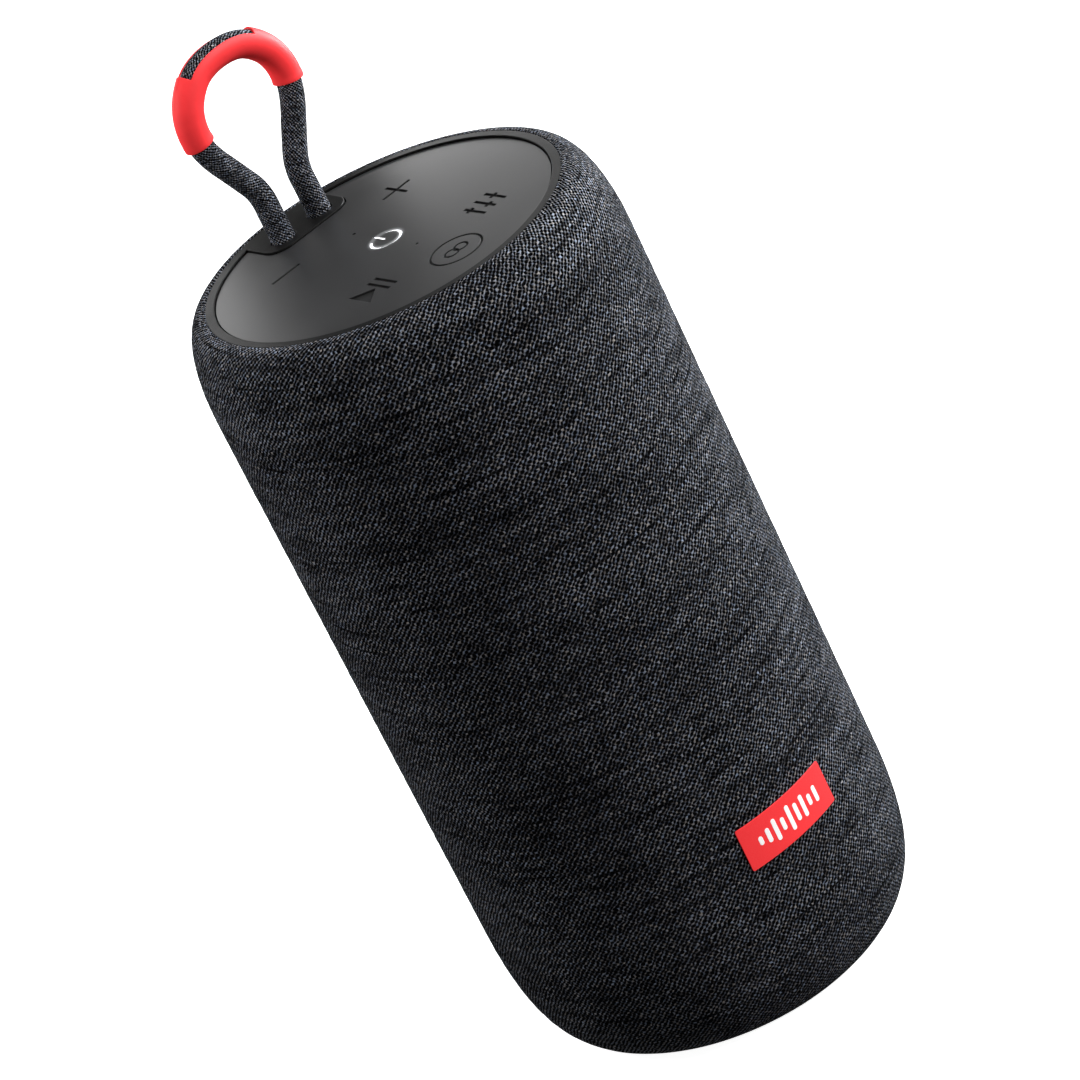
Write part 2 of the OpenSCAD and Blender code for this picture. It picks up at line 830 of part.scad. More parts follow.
// Half-roll of rubber between a cone and its frame
module half_roll() {
    mid_r = cone_r + 0.05 + roll_r;
    rotate_extrude()
        intersection() {
            translate([mid_r, roll_z + 0.05])
                difference() {
                    circle(r = roll_r, $fn = 48);
                    circle(r = roll_r - 0.5, $fn = 48);
                }
            translate([0, roll_z + 0.05]) square([30, 10]);
        }
}

module surround_lower() { color(shell_black) on_front(driver_low_z) half_roll(); }
module surround_upper() { color(shell_black) on_front(driver_high_z) half_roll(); }

module radiator_frames() {
    color([0.2, 0.2, 0.2])
        for (z = [driver_low_z, driver_high_z])
            on_rear(z)
                difference() {
                    union() {
                        tube(driver_r, 22, gasket_t, gasket_t + 1.5);
                        tube(opening_r - 0.1, 20.6, -1, roll_z);
                        tube(opening_r - 0.1, 22, -1, gasket_t + 0.1);
                    }
                    flange_holes(4);
                }
}

// Weighted plate with a shallow dish
module radiator_plate() {
    difference() {
        disc(cone_r, -1.2, 1.2);
        translate([0, 0, 0.4]) cylinder(r1 = 11, r2 = 13, h = 2);
    }
}

module radiator_lower() { color([0.5, 0.5, 0.52]) on_rear(driver_low_z) radiator_plate(); }
module radiator_upper() { color([0.5, 0.5, 0.52]) on_rear(driver_high_z) radiator_plate(); }
module radiator_surround_lower() { color(shell_black) on_rear(driver_low_z) half_roll(); }
module radiator_surround_upper() { color(shell_black) on_rear(driver_high_z) half_roll(); }

// ---------- electronics ----------

cell_y = cell_d / 2 + 0.5;
cell_z = 5 + cell_d / 2;

module battery_cells() {
    color([0.2, 0.5, 0.7])
        for (s = [-1, 1]) translate([0, s * cell_y, cell_z]) rotate([0, 90, 0]) {
            cylinder(r = cell_d / 2, h = cell_l, center = true);
            cylinder(r = 3, h = cell_l + 1.6, center = true);
        }
}

module battery_tray() {
    half_l = cell_l / 2 + 1.2;
    color(shell_black)
        difference() {
            intersection() {
                translate([-half_l, -18.6, floor_z + 0.05]) cube([2 * half_l, 37.2, 7.4]);
                disc(35.9, 0, 30);
            }
            for (s = [-1, 1]) translate([0, s * cell_y, cell_z]) rotate([0, 90, 0]) {
                cylinder(r = cell_d / 2 + fit, h = cell_l + 0.3, center = true);
                cylinder(r = 3.3, h = 100, center = true);
            }
        }
}

module battery_lead() {
    color(red)
        for (s = [-1, 1])
            wire([[-34.5, s * 9, cell_z], [-34.5, s * 4, cell_z + 6], [-34.5, s * 4, board_z - 2.4],
                [-30, s * 1.5, board_z - 1.2]], 0.7);
}

module main_board() {
    color(board_green)
        translate([0, 0, board_z])
            linear_extrude(height = board_t)
                difference() {
                    intersection() {
                        circle(r = 38);
                        translate([-40, -40]) square([80, 40 + port_back_y - 0.3]);
                    }
                    for (p = base_screw_at) translate(p) circle(r = 4);
                    for (p = board_screw_at) translate(p) circle(r = 1.2);
                }
}

module board_parts() {
    z = board_z + board_t + 0.02;
    color([0.1, 0.1, 0.12]) {
        for (c = [[-12, -6, 9, 9, 1.2], [8, -10, 7, 7, 1], [16, 10, 6, 4, 2.6], [-20, 10, 12, 8, 1.8]])
            translate([c[0] - c[2] / 2, c[1] - c[3] / 2, z]) cube([c[2], c[3], c[4]]);
        for (x = [-6.4, 0, 6.4]) translate([x, -24, z]) cylinder(r = 3.1, h = 7);
        for (x = [-22, 22]) translate([x - 3, 14, z]) cube([6, 4, 4]);
    }
}

module board_screws() {
    color(steel) at_each(board_screw_at) translate([0, 0, board_z + board_t + 1.5]) screw(2.1, 1.4, 0.95, 9);
}

// Flat ribbon from the main board to the key board, up the rear of the enclosure
module ribbon_cable() {
    x = 26.3;
    w = 2.2;
    t = 0.3;
    y = baffle_y + 0.35;
    low_z = board_z + board_t + 4.3;
    high_z = key_board_z - 1.6;
    color([0.85, 0.85, 0.82]) {
        translate([x, y, low_z]) cube([w, t, high_z - low_z]);
        translate([x, 22, low_z]) cube([w, y + t - 22, t]);
        translate([x, 22, board_z + board_t + 0.1]) cube([w, t, low_z - board_z - board_t]);
        translate([x - 8, 18, high_z - t]) cube([8 + w, y + t - 18, t]);
        translate([x - 8, 18, high_z - t]) cube([w, t, key_board_z - high_z + t - 0.05]);
    }
}

module driver_leads() {
    color([0.7, 0.1, 0.1])
        for (s = [-1, 1]) {
            top_z = s > 0 ? driver_high_z : driver_low_z;
            wire([[s * lead_x, 4, board_z + board_t + 0.2], [s * lead_x, 4, top_z], [s * lead_x, -18.6, top_z]], 0.7);
        }
}

// ---------- build ----------

fabric_sleeve();
grille_tube();
top_ring();
top_frame();
key_deck();
key_minus();
key_plus();
key_power();
key_play();
key_mode();
key_pair();
power_light();
key_mat();
key_board();
key_board_screws();
microphone();
status_led();
cord_loop();
cord_ends();
loop_grip();
anchor_plate();
anchor_screws();
frame_screws();
label();
label_mark();
base_cup();
foot_pad();
base_screws();
port_bezel();
port_cover();
enclosure_front();
enclosure_rear();
enclosure_gasket();
enclosure_screws();
driver_frames();
driver_magnets();
cone_lower();
cone_upper();
surround_lower();
surround_upper();
driver_gaskets();
driver_screws();
radiator_frames();
radiator_lower();
radiator_upper();
radiator_surround_lower();
radiator_surround_upper();
radiator_screws();
battery_cells();
battery_tray();
battery_lead();
main_board();
board_parts();
usb_c_socket();
audio_socket();
board_screws();
ribbon_cable();
driver_leads();
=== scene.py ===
"""Looks of the portable speaker: fabric, panel, cord loop, label and port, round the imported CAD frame."""
import json
import math

import bmesh
import bpy
import numpy as np
from mathutils import Matrix, Vector


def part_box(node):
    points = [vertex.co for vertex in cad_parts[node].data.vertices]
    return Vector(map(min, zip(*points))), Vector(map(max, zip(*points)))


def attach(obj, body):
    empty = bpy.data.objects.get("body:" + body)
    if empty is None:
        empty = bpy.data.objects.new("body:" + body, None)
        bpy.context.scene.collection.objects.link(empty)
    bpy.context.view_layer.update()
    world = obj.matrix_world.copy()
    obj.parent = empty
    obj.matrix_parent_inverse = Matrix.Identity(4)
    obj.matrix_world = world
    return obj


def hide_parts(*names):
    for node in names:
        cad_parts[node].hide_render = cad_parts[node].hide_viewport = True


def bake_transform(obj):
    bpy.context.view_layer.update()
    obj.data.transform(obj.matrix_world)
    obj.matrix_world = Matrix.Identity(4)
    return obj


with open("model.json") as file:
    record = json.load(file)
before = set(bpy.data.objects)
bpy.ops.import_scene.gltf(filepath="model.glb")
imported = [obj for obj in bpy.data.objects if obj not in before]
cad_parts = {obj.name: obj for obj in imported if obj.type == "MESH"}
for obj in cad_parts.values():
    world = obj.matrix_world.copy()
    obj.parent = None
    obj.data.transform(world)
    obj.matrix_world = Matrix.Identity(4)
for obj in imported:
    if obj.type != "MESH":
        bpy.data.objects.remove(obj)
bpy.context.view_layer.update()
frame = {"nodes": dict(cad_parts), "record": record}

MM = 0.001

# ---- sizes taken from the frame ----
fabric_low, fabric_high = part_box("fabric_sleeve")
_, ring_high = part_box("top_ring")
_, deck_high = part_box("key_deck")
label_low, label_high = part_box("label")
port_low, port_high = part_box("port_bezel")

BODY_R = fabric_high.x
BODY_TOP = fabric_high.z
HEM_Z = fabric_low.z
RING_R = ring_high.x + 0.1 * MM
DECK_R = deck_high.x
DECK_TOP = deck_high.z

# ---- the body's outline, as in the CAD source ----
SHOULDER_H = 21.5 * MM
SHOULDER_N = 2.35
HEEL_H = 32 * MM
HEEL_N = 2.6
HEM_R = 33.2 * MM
FABRIC_T = 0.8 * MM

# ---- the deck, as in the CAD source ----
KEY_R = 6.5 * MM
NOTCH_HALF_W = 10.4 * MM
NOTCH_Y = 23.7 * MM
NOTCH_CORNER_R = 4.3 * MM
STROKE = 0.8 * MM
FINE_STROKE = 0.55 * MM
ICON_DEPTH = 0.4 * MM
KEY_GAP = 0.01 * MM
KEYS = {
    "minus": (-15.1 * MM, 14.6 * MM),
    "plus": (15.3 * MM, 14.4 * MM),
    "power": (0, -1.1 * MM),
    "play": (-15.4 * MM, -16.2 * MM),
    "mode": (14.9 * MM, -16.4 * MM),
    "pair": (0, -24.8 * MM),
}
POWER_R = 3.2 * MM
MIC_AT = (0, 9.9 * MM)
LED_AT = (0, -11.7 * MM)

# ---- the cord, with the CAD route's points: x and height above the ring, in mm ----
CORD_R = 2.6 * MM
CORD_X = 5 * MM
CORD_Y = 28.5 * MM
GRIP_R = 3.2 * MM
LOOP_CENTRE_H = 28.3 * MM
CORD_UNDER = 2.6
CORD_UPRIGHT = 3
CROWN = (0, 40.3)
LOOP_HALF = [
    (5, 6), (5, 9), (5.6, 12), (7, 15), (8.8, 18.5), (10.6, 22), (11.8, 25.3), (12.2, 28.5),
    (11.8, 31.7), (10.6, 34.6), (8.6, 37.1), (6.1, 39), (3.2, 40),
]

# ---- weave ----
THREADS_ROUND = 484
CORD_THREADS_ROUND = 44
THREAD = 2 * math.pi * BODY_R / THREADS_ROUND

# ---- camera ----
CAMERA_AZIMUTH = math.radians(-28.0)
CAMERA_ELEVATION = math.radians(26.9)
CAMERA_DISTANCE = 0.9582
CAMERA_ROLL = math.radians(-26.4)
CAMERA_LENS = 156.4
CAMERA_SENSOR = 36
CAMERA_AIM = Vector((1.2 * MM, -0.6 * MM, 105.4 * MM))


# =============================== materials ===============================

class Nodes:
    """Short names for building one material's node tree."""

    def __init__(self, name):
        self.material = bpy.data.materials.new(name)
        self.material.use_nodes = True
        self.tree = self.material.node_tree
        self.tree.nodes.clear()
        self.out = self.node("ShaderNodeOutputMaterial")
        self.shader = self.node("ShaderNodeBsdfPrincipled")
        self.link(self.shader.outputs[0], self.out.inputs["Surface"])

    def node(self, kind, **settings):
        made = self.tree.nodes.new(kind)
        for key, value in settings.items():
            setattr(made, key, value)
        return made

    def link(self, a, b):
        self.tree.links.new(a, b)

    def put(self, socket, value):
        """Links an output to a socket, or sets a plain value on it."""
        if isinstance(value, bpy.types.NodeSocket):
            self.link(value, socket)
        else:
            socket.default_value = value

    def math(self, op, a, b=0.0, clamp=False):
        n = self.node("ShaderNodeMath", operation=op, use_clamp=clamp)
        for i, value in enumerate((a, b)):
            self.put(n.inputs[i], value)
        return n.outputs[0]

    def scale(self, value, factor):
        return self.math("MULTIPLY", value, factor)

    def ramp(self, value, low, high, to_low=0.0, to_high=1.0, smooth=True):
        n = self.node("ShaderNodeMapRange", interpolation_type="SMOOTHSTEP" if smooth else "LINEAR")
        for i, v in enumerate((value, low, high, to_low, to_high)):
            self.put(n.inputs[i], v)
        return n.outputs[0]

    def mix(self, factor, a, b):
        n = self.node("ShaderNodeMix", data_type="RGBA")
        self.put(n.inputs["Factor"], factor)
        self.put(n.inputs["A"], a)
        self.put(n.inputs["B"], b)
        return n.outputs["Result"]

    def combine(self, x, y, z=0.0):
        n = self.node("ShaderNodeCombineXYZ")
        for i, v in enumerate((x, y, z)):
            self.put(n.inputs[i], v)
        return n.outputs[0]

    def split(self, vector):
        n = self.node("ShaderNodeSeparateXYZ")
        self.link(vector, n.inputs[0])
        return n.outputs

    def object_coords(self):
        return self.node("ShaderNodeTexCoord").outputs["Object"]

    def uv(self, name):
        return self.node("ShaderNodeUVMap", uv_map=name).outputs[0]

    def noise(self, vector, scale, detail=2.0, roughness=0.5):
        n = self.node("ShaderNodeTexNoise", noise_dimensions="3D")
        self.link(vector, n.inputs["Vector"])
        n.inputs["Scale"].default_value = scale
        n.inputs["Detail"].default_value = detail
        n.inputs["Roughness"].default_value = roughness
        return n.outputs["Fac"]

    def drift(self, u, v, u_scale, v_scale, seed, detail=2.0, roughness=0.6):
        """Noise over a flat map, stretched by its two scales; the seed picks its own slice."""
        at = self.combine(self.scale(u, u_scale), self.scale(v, v_scale), seed)
        return self.noise(at, 1.0, detail, roughness)

    def random(self, vector):
        n = self.node("ShaderNodeTexWhiteNoise", noise_dimensions="3D")
        self.link(vector, n.inputs["Vector"])
        return n.outputs["Value"]

    def bump(self, height, distance, strength=1.0):
        n = self.node("ShaderNodeBump")
        n.inputs["Strength"].default_value = strength
        n.inputs["Distance"].default_value = distance
        self.link(height, n.inputs["Height"])
        return n.outputs[0]

    def glow(self, color, strength):
        self.put(self.shader.inputs["Emission Color"], color)
        self.put(self.shader.inputs["Emission Strength"], strength)

    def finish(self, color, roughness, normal=None, **constants):
        """Fills in the shader; constants are its other inputs, with _ for each space."""
        self.put(self.shader.inputs["Base Color"], color)
        self.put(self.shader.inputs["Roughness"], roughness)
        if normal is not None:
            self.link(normal, self.shader.inputs["Normal"])
        for name, value in constants.items():
            self.shader.inputs[name.replace("_", " ")].default_value = value
        return self.material


def weave_material(name, relief, light, streak_len):
    """Plain weave in thread units from a UV map: a light net of crossing threads round pits coloured near
    black as painted shade, which lie in a chequer. Each crossing has its own tone, the weft runs thin in
    places, lower in relief and coloured darker there as painted shade, and some fibres are tinted."""
    n = Nodes(name)
    u, v, _ = n.split(n.uv("weave"))
    # the threads wander: long sways of the rows, then small shifts of each crossing
    sway = n.drift(u, v, 0.03, 0.05, 0.0)
    v = n.math("ADD", v, n.scale(n.math("SUBTRACT", sway, 0.5), 2.4))
    jitter = n.drift(u, v, 0.4, 0.4, 3.0, 1.0, 0.5)
    wobble = n.drift(u, v, 0.35, 0.5, 8.0, 1.0, 0.5)
    u = n.math("ADD", u, n.scale(n.math("SUBTRACT", jitter, 0.5), 2.1))
    v = n.math("ADD", v, n.scale(n.math("SUBTRACT", wobble, 0.5), 1.1))
    both, apart = n.math("ADD", u, v), n.math("SUBTRACT", u, v)
    # the crossings lie in a chequer, and the ridges that climb to one side stand out from those that fall
    climb = n.math("COSINE", n.scale(apart, math.pi))
    fall = n.math("COSINE", n.scale(both, math.pi))
    wave = n.math("ADD", n.scale(climb, 0.6), n.scale(fall, 0.47))
    # the finer waves open the pits to full rounds with thin threads between them
    across, along = n.math("COSINE", n.scale(u, 2 * math.pi)), n.math("COSINE", n.scale(v, 2 * math.pi))
    finer = n.math("ADD", across, along)
    wave = n.math("SUBTRACT", wave, n.scale(finer, 0.17))
    fuzz = n.drift(u, v, 1.3, 1.9, 21.0)
    lifted = n.math("ADD", wave, n.ramp(fuzz, 0.25, 0.75, -0.36, 0.26, smooth=False))
    net = n.math("POWER", n.ramp(lifted, -0.05, 0.8), 1.25)
    # tones: of each crossing, of each row's length, and of whole bands of rows
    own = n.random(n.combine(n.math("ROUND", n.scale(both, 0.5)), n.math("ROUND", n.scale(apart, 0.5)), 2.0))
    glint = n.drift(u, v, 0.9, 0.9, 27.0, 1.0, 0.5)
    row = n.math("ROUND", v)
    streak = n.drift(u, row, 1 / streak_len, 0.83, 5.0)
    thin = n.ramp(n.drift(u, row, 1 / (2.2 * streak_len), 0.77, 9.0, 2.0, 0.5), 0.31, 0.4)
    weft = n.drift(u, row, 1 / (5 * streak_len), 0.61, 17.0, 1.0, 0.5)
    band = n.drift(u, v, 1 / (4 * streak_len), 0.06, 15.0)
    tone = n.math("MULTIPLY", net, n.ramp(own, 0.0, 1.0, 0.55, 1.4, smooth=False))
    tone = n.math("MULTIPLY", tone, n.ramp(glint, 0.3, 0.7, 0.45, 1.35))
    tone = n.math("MULTIPLY", tone, n.ramp(streak, 0.3, 0.65, 0.45, 1.3))
    # painted shade: where the weft runs thin and lies lower, its colour is also darkened
    tone = n.math("MULTIPLY", tone, n.ramp(thin, 0.0, 1.0, 0.2, 1.0, smooth=False))
    tone = n.math("MULTIPLY", tone, n.ramp(weft, 0.3, 0.7, 0.7, 1.25))
    tone = n.math("MULTIPLY", tone, n.ramp(band, 0.35, 0.65, 0.75, 1.15), clamp=True)
    hue = n.drift(u, v, 0.7, 0.9, 12.0, 2.0, 0.7)
    cool = (light[0] * 0.76, light[1] * 0.96, light[2] * 1.28, 1)
    warm = (light[0] * 1.12, light[1] * 1.02, light[2] * 0.9, 1)
    # painted shade: the pits between the threads are coloured near black
    pit_shade = (0.0012, 0.0012, 0.0014, 1)
    color = n.mix(tone, pit_shade, n.mix(n.ramp(hue, 0.36, 0.64), warm, cool))
    height = n.math("ADD", n.scale(net, 0.6), n.scale(thin, 0.4))
    n.link(n.scale(tone, 0.35), n.shader.inputs["Specular IOR Level"])
    return n.finish(color, 0.6, n.bump(height, relief))


def panel_material(name, painted_halo=False):
    """Soft-touch panel: satin dark grey with a very fine moulded grain, coloured darker in the engraved icons
    as painted shade.
    With painted_halo, the panel itself glows in a band round the power key's ring: a painted glow."""
    n = Nodes(name)
    p = n.object_coords()
    x, y, z = n.split(p)
    grain = n.noise(p, 9000, 2.0, 0.6)
    patch = n.noise(p, 45, 3.0, 0.55)
    face = n.mix(n.ramp(patch, 0.35, 0.65), (0.017, 0.017, 0.0173, 1), (0.02, 0.02, 0.0203, 1))
    # painted shade: the engraved icons' floors are coloured darker than the face
    depth = n.ramp(z, DECK_TOP - ICON_DEPTH * 0.8, DECK_TOP - 0.05 * MM)
    color = n.mix(depth, (0.01, 0.01, 0.01, 1), face)
    rough = n.math("ADD", n.ramp(patch, 0.3, 0.7, 0.31, 0.34), n.scale(n.math("SUBTRACT", 1.0, depth), 0.3))
    n.link(n.ramp(depth, 0.0, 1.0, 0.2, 0.6), n.shader.inputs["Specular IOR Level"])
    if painted_halo:
        kx, ky = KEYS["power"]
        across = n.math("SUBTRACT", x, kx)
        along = n.math("SUBTRACT", y, ky)
        radius = n.math("SQRT", n.math("ADD", n.math("POWER", across, 2.0), n.math("POWER", along, 2.0)))
        off_ring = n.math("ABSOLUTE", n.math("SUBTRACT", radius, POWER_R))
        # painted glow: the panel emits pale light in a band round the power ring
        n.glow((0.95, 0.97, 1.0, 1), n.ramp(off_ring, 0.2 * MM, 1.1 * MM, 0.16, 0.0))
    return n.finish(color, rough, n.bump(grain, 0.005 * MM, 0.4))


def plastic_material(name, color, rough, grain_scale=4500, spread=0.25, specular=0.45):
    """Moulded plastic or rubber: fine spark-eroded grain, faint tone patches and lightly worn high spots."""
    n = Nodes(name)
    p = n.object_coords()
    grain = n.noise(p, grain_scale, 2.0, 0.6)
    patch = n.noise(p, 130, 3.0, 0.6)
    dark = tuple(c * (1 - spread) for c in color) + (1,)
    light = tuple(min(1, c * (1 + spread)) for c in color) + (1,)
    tint = n.mix(n.ramp(patch, 0.3, 0.7), dark, light)
    wear = n.math("ADD", patch, n.scale(grain, 0.3))
    roughness = n.ramp(wear, 0.4, 0.9, rough * 0.88, min(1, rough * 1.1))
    return n.finish(tint, roughness, n.bump(grain, 0.02 * MM, 0.8), Specular_IOR_Level=specular)


def metal_material(name, color, rough, stretch=(1, 1, 1), scale=2500):
    """Metal with drawn or turned scratches."""
    n = Nodes(name)
    p = n.object_coords()
    mapped = n.node("ShaderNodeMapping")
    n.link(p, mapped.inputs["Vector"])
    mapped.inputs["Scale"].default_value = stretch
    scratch = n.noise(mapped.outputs[0], scale, 3.0, 0.7)
    patch = n.noise(p, 200, 2.0, 0.5)
    tint = n.mix(n.ramp(patch, 0.3, 0.7), tuple(c * 0.8 for c in color) + (1,), tuple(color) + (1,))
    roughness = n.ramp(scratch, 0.3, 0.7, rough * 0.75, rough * 1.35)
    return n.finish(tint, roughness, n.bump(scratch, 0.01 * MM, 0.5), Metallic=1.0)


def rubber_red_material():
    """Smooth moulded red rubber."""
    n = Nodes("red_rubber")
    p = n.object_coords()
    grain = n.noise(p, 5200, 2.0, 0.6)
    patch = n.noise(p, 180, 3.0, 0.6)
    tint = n.mix(n.ramp(patch, 0.3, 0.7), (0.86, 0.034, 0.038, 1), (0.93, 0.04, 0.045, 1))
    roughness = n.ramp(patch, 0.3, 0.7, 0.48, 0.55)
    # painted glow: the rubber emits a faint red light of its own
    n.glow((1.0, 0.03, 0.035, 1), 0.05)
    return n.finish(tint, roughness, n.bump(grain, 0.012 * MM, 0.6), Specular_IOR_Level=0.25)


def label_material():
    """Woven satin label: fine horizontal ribs."""
    n = Nodes("label_red")
    x, _, z = n.split(n.object_coords())
    rib_pitch = 0.22 * MM
    rib = n.math("SINE", n.scale(z, 2 * math.pi / rib_pitch))
    fleck = n.drift(x, z, 2500, 6000, 0.0)
    tint = n.mix(n.ramp(fleck, 0.35, 0.65), (0.84, 0.035, 0.04, 1), (0.95, 0.05, 0.055, 1))
    height = n.math("ADD", n.scale(rib, 0.5), fleck)
    # painted glow: the label emits red light of its own, so it stays bright where the light falls away
    n.glow((1.0, 0.03, 0.035, 1), 0.22)
    return n.finish(tint, 0.55, n.bump(height, 0.015 * MM, 0.5), Specular_IOR_Level=0.3)


def ink_material():
    """Opaque white print."""
    n = Nodes("white_ink")
    p = n.object_coords()
    fleck = n.noise(p, 3500, 2.0, 0.6)
    tint = n.mix(n.ramp(fleck, 0.3, 0.7), (0.86, 0.86, 0.86, 1), (0.95, 0.95, 0.95, 1))
    # painted glow: the print emits a faint white light of its own
    n.glow((1, 1, 1, 1), 0.25)
    return n.finish(tint, 0.5, n.bump(fleck, 0.01 * MM, 0.5), Specular_IOR_Level=0.3)


def light_material():
    """Lit translucent light pipe."""
    n = Nodes("light_pipe")
    p = n.object_coords()
    cloud = n.noise(p, 900, 2.0, 0.5)
    tint = n.mix(n.ramp(cloud, 0.3, 0.7), (0.92, 0.95, 1.0, 1), (1.0, 1.0, 1.0, 1))
    n.glow(tint, 2.2)
    return n.finish(tint, 0.3)


def board_material():
    """Solder mask with copper tracks showing through it."""
    n = Nodes("circuit_board")
    x, y, _ = n.split(n.object_coords())
    brick = n.node("ShaderNodeTexBrick", offset=0.35, squash=0.7, squash_frequency=3)
    n.link(n.combine(x, y), brick.inputs["Vector"])
    brick.inputs["Scale"].default_value = 260
    brick.inputs["Color1"].default_value = (0.01, 0.09, 0.035, 1)
    brick.inputs["Color2"].default_value = (0.012, 0.12, 0.05, 1)
    brick.inputs["Mortar"].default_value = (0.03, 0.2, 0.08, 1)
    brick.inputs["Mortar Size"].default_value = 0.03
    tracks = n.bump(brick.outputs["Fac"], 0.03 * MM, 0.6)
    return n.finish(brick.outputs["Color"], 0.35, tracks, Specular_IOR_Level=0.5)


def battery_material():
    """Shrink wrap, wrinkled along the cells, with bare metal at their ends."""
    n = Nodes("battery_wrap")
    x, y, z = n.split(n.object_coords())
    wrinkle = n.noise(n.combine(n.scale(x, 90), n.scale(y, 900), n.scale(z, 900)), 1.0, 3.0, 0.6)
    band = n.ramp(n.math("ABSOLUTE", x), 29 * MM, 29.6 * MM)
    tint = n.mix(band, (0.03, 0.16, 0.4, 1), (0.5, 0.5, 0.52, 1))
    return n.finish(tint, 0.28, n.bump(wrinkle, 0.05 * MM, 0.4), Specular_IOR_Level=0.5)


def cone_material():
    """Pressed paper fibre."""
    n = Nodes("cone_paper")
    p = n.object_coords()
    fibre = n.noise(p, 2600, 4.0, 0.75)
    tint = n.mix(n.ramp(fibre, 0.35, 0.65), (0.016, 0.016, 0.018, 1), (0.05, 0.05, 0.055, 1))
    return n.finish(tint, 0.8, n.bump(fibre, 0.06 * MM, 0.7), Specular_IOR_Level=0.3)


MATERIALS = {
    "body_fabric": weave_material("body_fabric", 0.3 * MM, (0.268, 0.266, 0.278), 16),
    "cord_fabric": weave_material("cord_fabric", 0.16 * MM, (0.33, 0.331, 0.35), 6),
    "deck_rubber": panel_material("deck_satin"),
    "power_cap": panel_material("power_cap", painted_halo=True),
    "smoked_lens": plastic_material("smoked_lens", (0.008, 0.008, 0.009), 0.15),
    "ring_plastic": plastic_material("ring_matte", (0.006, 0.0059, 0.0058), 0.35, spread=0.1, specular=0.12),
    "inner_plastic": plastic_material("inner_plastic", (0.02, 0.02, 0.021), 0.55),
    "red_rubber": rubber_red_material(),
    "label_red": label_material(),
    "white_ink": ink_material(),
    "light_pipe": light_material(),
    "grey_rubber": plastic_material("grey_rubber", (0.16, 0.16, 0.165), 0.7),
    "black_rubber": plastic_material("black_rubber", (0.014, 0.014, 0.015), 0.68, 5200),
    "circuit_board": board_material(),
    "screw_steel": metal_material("screw_steel", (0.62, 0.62, 0.64), 0.3, (1, 1, 8)),
    "pressed_steel": plastic_material("pressed_steel", (0.02, 0.02, 0.022), 0.4, 2500),
    "magnet": metal_material("magnet", (0.22, 0.22, 0.23), 0.5),
    "cone_paper": cone_material(),
    "radiator_metal": metal_material("radiator_metal", (0.5, 0.5, 0.52), 0.35, (1, 1, 1), 3500),
    "battery_wrap": battery_material(),
    "wire_sleeve": plastic_material("wire_sleeve", (0.4, 0.03, 0.03), 0.4),
    "chip_plastic": plastic_material("chip_plastic", (0.015, 0.015, 0.016), 0.5, 3000),
    "ribbon_plastic": plastic_material("ribbon_plastic", (0.55, 0.54, 0.48), 0.35),
}


def paint(obj, material):
    obj.data.materials.clear()
    obj.data.materials.append(material)


# =============================== mesh helpers ===============================

# flat plates shade by this angle, so that their tops stay flat right up to the edge
FLAT_ANGLE = 12


def add_mesh(name, verts, faces, smooth=True):
    mesh = bpy.data.meshes.new(name)
    mesh.from_pydata([tuple(v) for v in verts], [], [tuple(f) for f in faces])
    mesh.validate()
    obj = bpy.data.objects.new(name, mesh)
    bpy.context.scene.collection.objects.link(obj)
    if smooth:
        mesh.shade_smooth()
    return obj


def add_bevel(obj, width, segments, angle):
    bevel = obj.modifiers.new("edge", "BEVEL")
    bevel.width = width
    bevel.segments = segments
    bevel.limit_method = "ANGLE"
    bevel.angle_limit = math.radians(angle)
    bevel.harden_normals = False


def apply_modifiers(obj):
    """Makes the shape its modifiers give the object's own mesh."""
    bpy.context.view_layer.update()
    graph = bpy.context.evaluated_depsgraph_get()
    seen = obj.evaluated_get(graph)
    made = bpy.data.meshes.new_from_object(seen, preserve_all_data_layers=True, depsgraph=graph)
    obj.modifiers.clear()
    old = obj.data
    obj.data = made
    bpy.data.meshes.remove(old)
    return obj


def curve_plate(name, outlines, z_low, z_high, edge):
    """A flat plate with a small round edge, from closed outlines; one inside another is a hole or island."""
    curve = bpy.data.curves.new(name, "CURVE")
    curve.dimensions = "2D"
    curve.fill_mode = "BOTH"
    for outline in outlines:
        spline = curve.splines.new("POLY")
        spline.points.add(len(outline) - 1)
        for point, (x, y) in zip(spline.points, outline):
            point.co = (x, y, 0, 1)
        spline.use_cyclic_u = True
    curve.extrude = (z_high - z_low) / 2 - edge
    curve.bevel_depth = edge
    curve.bevel_resolution = 2
    curve.offset = -edge
    holder = bpy.data.objects.new(name + "_curve", curve)
    bpy.context.scene.collection.objects.link(holder)
    bpy.context.view_layer.update()
    graph = bpy.context.evaluated_depsgraph_get()
    mesh = bpy.data.meshes.new_from_object(holder.evaluated_get(graph))
    bpy.data.objects.remove(holder)
    mesh.transform(Matrix.Translation((0, 0, (z_low + z_high) / 2)))
    obj = bpy.data.objects.new(name, mesh)
    bpy.context.scene.collection.objects.link(obj)
    clean(obj, FLAT_ANGLE)
    return obj


def clean(obj, angle=35):
    """Merges doubles, faces every face outward and shades by angle."""
    work = bmesh.new()
    work.from_mesh(obj.data)
    bmesh.ops.remove_doubles(work, verts=work.verts, dist=0.002 * MM)
    bmesh.ops.recalc_face_normals(work, faces=work.faces)
    work.to_mesh(obj.data)
    work.free()
    obj.data.shade_smooth()
    obj.data.set_sharp_from_angle(angle=math.radians(angle))


def join(name, parts):
    """Joins objects into one piece."""
    for o in bpy.context.selected_objects:
        o.select_set(False)
    for o in parts:
        o.select_set(True)
    bpy.context.view_layer.objects.active = parts[0]
    bpy.ops.object.join()
    made = parts[0]
    made.name = name
    made.data.name = name
    return made


